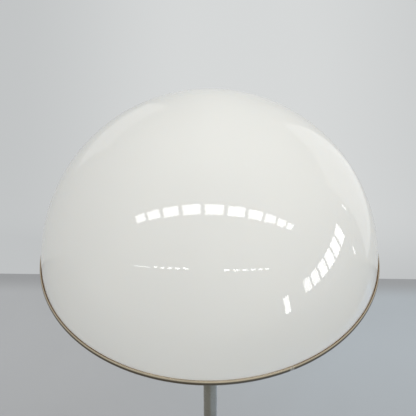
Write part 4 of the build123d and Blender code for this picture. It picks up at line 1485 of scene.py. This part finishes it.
@dataclass
class LampHolder:
    """A lamp holder and its bulb, drawn upright along the holder's axis from the cone's wall."""

    bore: float = 4.95
    neck: float = 8.5
    neck_length: float = 7.0
    play: float = 0.05
    radius: float = 19.0
    wall: float = 2.4
    cap_length: float = 23.0
    skirt_length: float = 34.0
    spigot: float = 4.5
    ledge: float = 1.0
    insert_height: float = 6.0
    bead: float = 1.6
    ring_threads: int = 6
    ring_pitch: float = 2.7
    ring_rise: float = 0.55
    bulb_tip: float = 32.0
    tip_radius: float = 4.8
    thread_radius: float = 13.1
    thread_depth: float = 0.8
    thread_pitch: float = 3.6
    threads: int = 5
    bulb_cap_length: float = 27.0
    glass_radius: float = 30.0
    glass_length: float = 105.0
    glass_wall: float = 0.9
    glass_neck: float = 11.95
    glass_neck_height: float = 10.0
    glass_seat: float = 5.0
    shoulder: float = 38.0

    @property
    def mouth(self) -> float:
        """Where the skirt ends."""
        return self.cap_length + self.skirt_length

    @property
    def bulb_cap_top(self) -> float:
        """Where the bulb's cap ends."""
        return self.bulb_tip + self.bulb_cap_length

    def cap(self) -> Piece:
        """The bell-shaped back with a grooved waist and a threaded end inside the skirt.

        Returns:
            The cap, upright over the origin.
        """
        inner = self.radius - self.wall
        ledge, floor = inner - self.ledge, self.neck_length + self.wall
        rise = self.cap_length - self.neck_length
        belly = (self.neck + (self.radius - self.neck) * 0.72, self.neck_length + rise * 0.3)
        hollow = (self.neck + (ledge - self.neck) * 0.62, floor + (self.cap_length - floor) * 0.34)
        outline = Outline(self.bore, 0.0, 0.2).to(self.neck, 0.0, 0.3).to(self.neck, 2.6, 0.1)
        outline.to(self.neck - 0.5, 3.0, 0.1).to(self.neck - 0.5, 3.6, 0.1).to(self.neck, 4.0, 0.1)
        outline.to(self.neck, self.neck_length).swell(belly, (self.radius, self.cap_length - 0.5), 22)
        outline.to(self.radius - 0.4, self.cap_length)
        spigot, end = self.radius - self.wall / 2, self.cap_length + self.spigot
        outline.to(spigot, self.cap_length).to(spigot, end, 0.3)
        outline.to(inner, end).to(inner, self.cap_length).to(ledge, self.cap_length)
        outline.swell(hollow, (self.neck, floor), 12).to(self.bore, floor)
        return turned("cap", outline, steps=80)

    def skirt(self) -> Piece:
        """The sleeve with a round thread for a shade ring and a bead round its mouth.

        Returns:
            The skirt, upright over the origin.
        """
        inner, start, mouth = self.radius - self.wall, self.cap_length, self.mouth
        thread = self.radius - self.wall / 2 + self.play
        front = start + self.insert_height
        outline = Outline(thread, start).to(self.radius - 0.4, start).to(self.radius, start + 0.5, 0.3)
        first = start + 9.0
        outline.grooves(self.radius, self.ring_rise, first, self.ring_pitch, self.ring_threads)
        crest, neck = self.radius + self.bead, mouth - 2 * self.bead
        outline.to(self.radius, neck, 0.4).to(crest, neck, 1.2).to(crest, mouth, 1.3)
        outline.to(inner, mouth, 0.6).to(inner, front + 1.2).to(inner - self.ledge, front + 1.2)
        outline.to(inner - self.ledge, front).to(thread, front)
        return turned("skirt", outline, steps=80)

    def bulb_cap(self) -> Piece:
        """The bulb's rolled screw cap: contact tip, glass-filled shoulder, threads and a crimped edge.

        Returns:
            The cap, upright over the origin.
        """
        tip, root, top = self.bulb_tip, self.thread_radius - self.thread_depth, self.bulb_cap_top
        start = tip + 3.8
        outline = Outline(0.0, tip).to(self.tip_radius, tip, 1.2).to(self.tip_radius + 1.0, tip + 2.4, 0.5)
        outline.to(root - 1.4, tip + 3.0, 0.6)
        outline.grooves(root, self.thread_depth, start, self.thread_pitch, self.threads)
        last = start + self.threads * self.thread_pitch
        outline.to(root, last).to(self.thread_radius - 0.2, last + 1.6, 0.6)
        outline.to(self.thread_radius, top, 0.5)
        bore = self.glass_neck + self.play
        outline.to(bore, top, 0.2).to(bore, top - self.glass_seat)
        outline.to(0.0, top - self.glass_seat)
        return turned("bulb_cap", outline, steps=72)

    def glass_side(self, outline: Outline, inset: float) -> Outline:
        """Draws one face of the envelope's wall, from its tip down to its neck.

        Args:
            outline: the outline to go on with, whose last corner is at the tip.
            inset: how far inside the outer face it lies.

        Returns:
            The outline.
        """
        radius, neck = self.glass_radius - inset, self.glass_neck - inset
        centre = self.bulb_tip + self.glass_length - self.glass_radius
        foot = self.bulb_cap_top - self.glass_seat
        down, out = sin(radians(self.shoulder)), cos(radians(self.shoulder))
        outline.arc((0.0, centre), radius, 88.0, -self.shoulder, 40)
        outline.flank((-down, -out), (neck, foot + self.glass_neck_height), 14)
        return outline.to(neck, foot)

    def bulb_glass(self) -> Piece:
        """The pear-shaped envelope, hollow, with an open neck that stands in the cap.

        Returns:
            The glass, upright over the origin.
        """
        centre = self.bulb_tip + self.glass_length - self.glass_radius
        outer = self.glass_side(Outline(0.0, centre + self.glass_radius), 0.0)
        inside = centre + self.glass_radius - self.glass_wall
        inner = self.glass_side(Outline(0.0, inside), self.glass_wall)
        for radius, height, _ in reversed(inner.corners):
            outer.to(radius, height)
        return turned("glass", outer, steps=96)

    def build(self, head: Head) -> None:
        """Models the four pieces once and puts a copy of each on every side of the head.

        Args:
            head: the head whose cone carries the holders.
        """
        patterns = (
            ("holder_cap", self.cap(), PHENOLIC),
            ("holder_skirt", self.skirt(), PHENOLIC),
            ("bulb_cap", self.bulb_cap(), CAP_METAL),
            ("bulb_glass", self.bulb_glass(), BULB_GLASS),
        )
        for word, pattern, finish in patterns:
            for side in Side:
                piece = copied(pattern, f"fine_{word}_{side.word}", head.holder_place(side))
                hand_over(piece, finish, Body.STAND, f"{word}_{side.word}")
            bpy.data.objects.remove(pattern)


# ---------------------------------------------------------------- pull switch


@dataclass
class PullSwitch:
    """What shows of the pull switch: bushing, nut, and the bead chain with its turned bell."""

    bore: float = 2.6
    neck: float = 4.5
    mouth: float = 3.0
    thread_pitch: float = 1.0
    nut_flats: float = 12.0
    ball_radius: float = 1.6
    socket_inner: float = 1.9
    socket_wall: float = 0.7
    socket_mouth: float = 50.0
    bead_radius: float = 1.6
    bead_pitch: float = 4.2
    bead_count: int = 20
    link_radius: float = 0.5
    bell_top: float = 2.2
    bushing_span: Span = measured("switch_bushing")
    nut_span: Span = measured("switch_nut")
    bell_span: Span = measured("pull_bell")
    piston_span: Span = measured("switch_piston")

    @property
    def axis(self) -> Matrix:
        """The place of the switch's axis."""
        across, along = self.bushing_span.centre
        return Matrix.Translation((across, along, 0.0))

    def bushing(self) -> None:
        """The threaded bushing with its flared mouth."""
        low, top, flare = self.bushing_span.bottom, self.bushing_span.top, self.bushing_span.radius
        outline = Outline(self.bore, top).to(self.bore, low + self.mouth, 0.6).to(self.neck, low, 0.3)
        outline.to(flare, low, 0.4).to(flare, low + self.mouth / 2, 0.4)
        outline.to(self.neck, low + self.mouth, 0.2)
        threads = int((top - low - self.mouth - 1.0) / self.thread_pitch)
        outline.grooves(self.neck, -0.3, low + self.mouth + 0.4, self.thread_pitch, threads)
        outline.to(self.neck, top)
        bushing = placed(turned("bushing", outline, steps=64), self.axis)
        hand_over(bushing, BRASS, Body.STAND, "switch_bushing")

    def nut(self) -> None:
        """The hexagon nut: a chamfered disc cut flat on six sides."""
        low, top, flat = self.nut_span.bottom, self.nut_span.top, self.nut_flats / 2
        corner = self.nut_flats / sqrt(3.0)
        outline = Outline(self.neck + 0.1, low, 0.3).to(flat + 0.1, low, 0.1).to(corner, low + 0.5)
        outline.to(corner, top - 0.5).to(flat + 0.1, top, 0.1).to(self.neck + 0.1, top, 0.3)
        nut = turned("nut", outline, steps=96)
        with editing(nut):
            for index in range(6):
                angle = radians(60.0 * index)
                normal = Vector((cos(angle), sin(angle), 0.0))
                bpy.ops.mesh.select_all(action="SELECT")
                spot = normal * flat * MM
                bpy.ops.mesh.bisect(plane_co=spot, plane_no=normal, use_fill=True, clear_outer=True)
            tidy_mesh()
        hand_over(placed(nut, self.axis), BRASS, Body.STAND, "switch_nut", smooth=20.0)

    def bead_chain(self) -> None:
        """The chain: a socket round the piston's ball, then beads that short round links join."""
        pivot = self.piston_span.bottom + self.ball_radius
        shell = self.socket_inner + self.socket_wall
        rim = 90.0 - self.socket_mouth
        socket = Outline(0.0, pivot - shell).arc((0.0, pivot), shell, -88.0, rim, 18)
        socket.arc((0.0, pivot), self.socket_inner, rim, -88.0, 14).to(0.0, pivot - self.socket_inner)
        pieces = [turned("socket", socket, steps=40)]

        first = pivot - shell - self.bead_pitch / 2
        dimple = degrees(asin(1.4 * self.link_radius / self.bead_radius))
        bead = Outline(0.0, first + 0.86 * self.bead_radius)
        bead.arc((0.0, first), self.bead_radius, 90.0 - dimple, dimple - 90.0, 12)
        bead.to(0.0, first - 0.86 * self.bead_radius)
        link_top = first + self.bead_pitch - 0.7 * self.bead_radius
        link = Outline(0.0, link_top).to(self.link_radius, link_top)
        link.to(self.link_radius, first).to(0.0, first)
        unit = joined("beads", turned("bead", bead, steps=20), turned("link", link, steps=10))
        worked(
            unit, "ARRAY", count=self.bead_count, use_relative_offset=False, use_constant_offset=True,
            constant_offset_displace=(0.0, 0.0, -self.bead_pitch * MM),
        )
        chain = placed(joined("bead_chain", *pieces, unit), self.axis)
        hand_over(chain, BRASS, Body.CHAIN, "pull_chain")

    def bell(self) -> None:
        """The turned bell at the chain's end, with a fine bead above its foot."""
        low, top, outer = self.bell_span.bottom, self.bell_span.top, self.bell_span.radius
        side, foot = outer - 0.5, low + 6.0
        waist = (self.bell_top + (outer - self.bell_top) * 0.45, low + (top - low) * 0.6)
        outline = Outline(0.0, low + 1.2).to(0.55 * side, low + 1.2, 0.5)
        outline.to(0.75 * side, low, 0.4).to(side, low, 0.3)
        outline.swell((outer, (low + foot) / 2), (side, foot), 14).to(side - 0.35, foot + 0.25, 0.1)
        outline.to(side - 0.3, foot + 0.7, 0.1)
        outline.swell(waist, (self.bell_top, top - 0.4), 20).to(self.bell_top - 0.3, top, 0.2)
        outline.to(0.9, top, 0.2).to(0.9, top - 1.5).to(0.0, top - 1.5)
        bell = placed(turned("bell", outline, steps=56), self.axis)
        hand_over(bell, BRASS, Body.CHAIN, "pull_bell")

    def build(self) -> None:
        """Models and dresses the pull switch."""
        self.bushing()
        self.nut()
        self.bead_chain()
        self.bell()


# ---------------------------------------------------------------- pieces that stay as the frame has them


def dress_frame() -> None:
    """Gives every CAD node that still shows the finish of its slot."""
    for subpart in frame["record"]["subparts"]:
        node = frame["nodes"][subpart["node"]]
        if node.hide_render:
            continue
        finish = PLAIN_FINISHES[subpart["material_slot"]]
        node.data.materials.clear()
        node.data.materials.append(finish.material())
        log.info("%s keeps its CAD shape, %s", node.name, finish.slot)


# ---------------------------------------------------------------- studio


@dataclass
class Camera:
    """The photograph's view: a long lens in front of the shade, above it, looking down."""

    frame_pixels: float = 416.0
    sensor: float = 36.0
    focal_pixels: float = 1161.8
    distance: float = 1722.5
    target_level: float = 1050.0
    elevation: float = 42.712
    pitch: float = 40.268
    heading: float = -0.088
    roll: float = -0.322
    near: float = 50.0
    far: float = 60000.0

    @property
    def spot(self) -> Vector:
        """Where the camera stands, in millimetres."""
        rise = radians(self.elevation)
        return Vector((0.0, -self.distance * cos(rise), self.target_level + self.distance * sin(rise)))

    @property
    def axes(self) -> tuple[Vector, Vector, Vector]:
        """The camera's own directions.

        Returns:
            To the right of the picture, up it and into it.
        """
        pitch, heading, roll = radians(self.pitch), radians(self.heading), radians(self.roll)
        ahead = Vector((sin(heading) * cos(pitch), cos(heading) * cos(pitch), -sin(pitch)))
        right = ahead.cross(Vector((0.0, 0.0, 1.0))).normalized()
        up = right.cross(ahead)
        return right * cos(roll) + up * sin(roll), up * cos(roll) - right * sin(roll), ahead

    def ray(self, column: float, row: float) -> Vector:
        """The direction in which a pixel of the photograph looks.

        Args:
            column: pixels from the left.
            row: pixels from the top.

        Returns:
            The direction, of length 1.
        """
        right, up, ahead = self.axes
        middle = self.frame_pixels / 2
        return (ahead + (right * (column - middle) + up * (middle - row)) / self.focal_pixels).normalized()

    def build(self) -> None:
        """Sets the camera up."""
        only()
        bpy.ops.object.camera_add()
        camera = bpy.context.object
        camera.name = "view"
        right, up, ahead = self.axes
        turn = Matrix((right, up, -ahead)).transposed().to_4x4()
        camera.matrix_world = Matrix.Translation(self.spot * MM) @ turn
        camera.data.sensor_width = self.sensor
        camera.data.lens = self.focal_pixels * self.sensor / self.frame_pixels
        camera.data.clip_start, camera.data.clip_end = self.near * MM, self.far * MM
        bpy.context.scene.camera = camera


@dataclass(frozen=True)
class PanelRow:
    """A straight row of bright panels that only mirror: they gleam on gloss and metal and light nothing."""

    name: str
    first: Place  # the centre of the first panel
    step: Place  # from each panel to the next
    count: int
    size: Point
    facing: Place
    radiance: float
    tone: Colour = (1.0, 1.0, 1.0)
    dome_only: bool = False

    def build(self, receivers: bpy.types.Collection) -> None:
        """Hangs the panels.

        Args:
            receivers: what the panels gleam on, where they gleam on the dome only.
        """
        for index in range(self.count):
            only()
            spot = Vector(self.first) + Vector(self.step) * index
            bpy.ops.object.light_add(type="AREA", location=spot * MM)
            panel = named(f"{self.name}_{index}")
            panel.rotation_euler = Vector(self.facing).to_track_quat("-Z", "Y").to_euler()
            light = panel.data
            light.shape, light.color = "RECTANGLE", self.tone
            light.size, light.size_y = self.size[0] * MM, self.size[1] * MM
            light.energy = self.radiance * pi * light.size * light.size_y
            panel.visible_camera = panel.visible_diffuse = False
            if self.dome_only:
                panel.light_linking.receiver_collection = receivers


STILL = (0.0, 0.0, 0.0)  # the step of a row of one panel
# the ways that panels face
DOWN, UP, AWAY, ACROSS = (0.0, 0.0, -1.0), (0.0, 0.0, 1.0), (0.0, 1.0, 0.0), (-1.0, 0.0, 0.0)
CEILING_PANELS = PanelRow(
    "ceiling_panel", (-2890.0, -905.0, 4050.0), (765.0, -25.0, 0.0), 10, (615.0, 375.0), DOWN, 8.2
)
LEFT_STRIPS = PanelRow(
    "left_strip", (-1600.0, -2000.0, 2450.0), (245.0, 0.0, 0.0), 5, (150.0, 58.0), AWAY, 10.0
)
LONG_STRIP = PanelRow(
    "long_strip", (-2310.0, -2000.0, 2445.0), STILL, 1, (900.0, 26.0), AWAY, 9.0
)
RIGHT_STRIPS = PanelRow(
    "right_strip", (440.0, -2000.0, 2395.0), (258.0, 0.0, -6.0), 6, (165.0, 58.0), AWAY, 10.0
)
SIDE_PANELS = PanelRow(
    "side_panel", (3000.0, -1560.0, 1285.0), (0.0, 402.0, 0.0), 6, (332.0, 440.0), ACROSS, 7.2,
    dome_only=True,
)
NEAR_PANEL = PanelRow(
    "near_panel", (3000.0, -2800.0, 1050.0), STILL, 1, (360.0, 770.0), ACROSS, 9.0,
    dome_only=True,
)
RIGHT_GLOW = PanelRow(
    "right_glow", (2209.0, 2287.0, 788.0), STILL, 1, (2080.0, 2400.0), (-2.209, -2.287, 0.36), 0.44,
    dome_only=True,
)
LEFT_GLOW = PanelRow(
    "left_glow", (-1428.0, 2864.0, 1206.0), STILL, 1, (1540.0, 1244.0), (1.428, -2.864, 0.0), 0.28,
    dome_only=True,
)
GLINTS = PanelRow(
    "glint", (3000.0, 1420.0, 1215.0), (0.0, -650.0, -725.0), 2, (70.0, 210.0), ACROSS, 4.0,
    dome_only=True,
)
FLOOR_CARD = PanelRow(
    "floor_card", (760.0, -300.0, 20.0), STILL, 1, (1400.0, 2200.0), UP, 0.25, (0.44, 0.62, 1.0)
)


@dataclass
class Studio:
    """The floor, the backdrop's tone, the soft light and the panels that gleam on the dome."""

    camera: Camera
    floor_left: Colour = (0.470, 0.482, 0.492)
    floor_right: Colour = (0.468, 0.512, 0.545)
    # floor_dark is the tone of the floor's patches, and of the painted shade near the stem and along its
    # far edge
    floor_dark: Colour = (0.345, 0.352, 0.360)
    floor_roughness: float = 0.55
    floor_row: float = 276.5  # where the floor's far edge lies in the photograph
    floor_turn: float = -1.5  # how far that edge is out of square with the view, in degrees
    floor_reach: float = 6000.0
    floor_middle: float = 350.0  # from left to right its tone turns within this of the stem
    floor_shade: Point = (80.0, 10.0)  # painted shade: so far before its far edge it starts to darken, and is dark
    floor_near: Point = (500.0, 850.0)  # painted shade: it is darker up to here, and no longer beyond here
    backdrop: Colour = (0.675, 0.690, 0.690)
    # backdrop_side is painted shade: the backdrop is darker towards the left, the right and its foot
    backdrop_side: Colour = (0.530, 0.545, 0.550)
    left_fall: Point = (-0.18, -0.01)  # in a view's part to the right, where the left side ends
    right_fall: Point = (0.07, 0.22)  # and where the right side starts
    foot_fall: Point = (-0.70, -0.64)  # in a view's part upwards, where the backdrop's foot ends
    horizon: Point = (-0.05, 0.10)
    sky: float = 0.825
    sky_slope: float = 0.15  # how much more light comes from the front
    ground: float = 0.36
    key_power: float = 14.0
    key_spot: Place = (1600.0, 600.0, 3600.0)
    key_target: Place = (0.0, 0.0, 1000.0)
    key_size: float = 2400.0
    rows: tuple[PanelRow, ...] = (
        CEILING_PANELS, LEFT_STRIPS, LONG_STRIP, RIGHT_STRIPS, SIDE_PANELS, NEAR_PANEL, RIGHT_GLOW,
        LEFT_GLOW, GLINTS, FLOOR_CARD,
    )
    receivers: bpy.types.Collection = field(default_factory=lambda: bpy.data.collections.new("dome_gleam"))

    @property
    def floor_edge(self) -> float:
        """How far behind the stem the floor ends."""
        ray, spot = self.camera.ray(self.camera.frame_pixels / 2, self.floor_row), self.camera.spot
        return spot.y - ray.y * spot.z / ray.z

    def floor_surface(self, graph: Graph) -> dict[str, Any]:
        """Mixes the floor's tone: two colours from left to right, patches, and painted shade on its near
        part and along its far edge.

        Args:
            graph: the material's graph.

        Returns:
            The values, by socket.
        """
        where = graph.place()
        across, along, _ = graph.split(where)
        depth = along - across * tan(radians(self.floor_turn))
        # painted shade along the floor's far edge, at the backdrop's foot
        band = depth.over(*((self.floor_edge - short) * MM for short in self.floor_shade))
        plain = graph.blend(across.past(0.0, self.floor_middle), self.floor_left, self.floor_right)
        patches = graph.noise(where, 2.2, detail=4.0, distortion=0.6).over(0.35, 0.70)
        # painted shade on the floor near the stem
        near = along.under(*(level * MM for level in self.floor_near))
        patched_and_shaded = graph.blend(patches * 0.15 + near * 0.22, plain, self.floor_dark)
        return {
            "Base Color": graph.blend(band * 0.9, patched_and_shaded, self.floor_dark),
            "Roughness": self.floor_roughness + patches * 0.1,
        }

    def floor(self) -> None:
        """The floor: a pale sheet, with painted shade near the stem and along its far edge, that ends where
        the backdrop starts.
        """
        only()
        bpy.ops.mesh.primitive_plane_add(size=1.0)
        floor = bpy.context.object
        floor.name = "floor"
        floor.scale = (2 * self.floor_reach * MM, (self.floor_edge + self.floor_reach) * MM, 1.0)
        floor.location = (0.0, (self.floor_edge - self.floor_reach) / 2 * MM, 0.0)
        settle(floor)
        placed(floor, around(self.floor_turn))
        floor.data.materials.append(material_of("floor", self.floor_surface))

    def world(self) -> None:
        """A plain sky that lights the lamp, and the backdrop's tone for what is seen or mirrored, with
        painted shade to its left, right and foot.
        """
        world = bpy.data.worlds.new("studio")
        bpy.context.scene.world = world
        world.use_nodes = True
        graph = Graph(world.node_tree)
        across, along, height = graph.split(graph.add("ShaderNodeTexCoord", output="Generated"))
        # painted shade on the backdrop towards the left, the right and its foot
        left, right = across.under(*self.left_fall), across.over(*self.right_fall)
        foot = height.under(*self.foot_fall)
        seen = graph.blend(left * 0.9 + right * 0.55 + foot * 0.75, self.backdrop, self.backdrop_side)
        level = height.over(*self.horizon) * (self.sky - self.ground) + self.ground
        level = level * (1.0 - along * self.sky_slope)
        path = graph.add("ShaderNodeLightPath").socket.node.outputs
        seen_by = ("Is Camera Ray", "Is Glossy Ray", "Is Transmission Ray")
        camera, glossy, through = (Wire(graph, path[word]) for word in seen_by)
        shown = camera + glossy + through
        background = graph.add("ShaderNodeBackground", sockets={"Color": graph.blend(shown, level, seen)})
        graph.add("ShaderNodeOutputWorld", sockets={"Surface": background})

    def key(self) -> None:
        """The soft key light, high at the right."""
        only()
        spot = Vector(self.key_spot)
        bpy.ops.object.light_add(type="AREA", location=spot * MM)
        key = named("key")
        key.rotation_euler = (spot - Vector(self.key_target)).to_track_quat("Z", "Y").to_euler()
        key.data.shape = "DISK"
        key.data.size = self.key_size * MM
        key.data.energy = self.key_power
        key.visible_camera = key.visible_glossy = False

    def build(self) -> None:
        """Sets the studio up."""
        bpy.context.scene.view_settings.view_transform = "Standard"
        self.camera.build()
        self.floor()
        self.world()
        self.key()
        for row in self.rows:
            row.build(self.receivers)

    def gleam_on(self, piece: Piece) -> None:
        """Lets the panels of the dome gleam on a piece."""
        self.receivers.objects.link(piece)


def main() -> None:
    """Builds the studio and the lamp, sub-assembly by sub-assembly."""
    logging.basicConfig(level=logging.INFO, format="%(name)s: %(message)s")
    studio = Studio(Camera())
    studio.build()
    shade = Shade()
    studio.gleam_on(shade.build())
    Foot().build()
    Spider(seat=shade.seat).build()
    head = Head()
    head.build()
    LampHolder().build(head)
    PullSwitch().build()
    dress_frame()


if __name__ == "__main__":
    main()
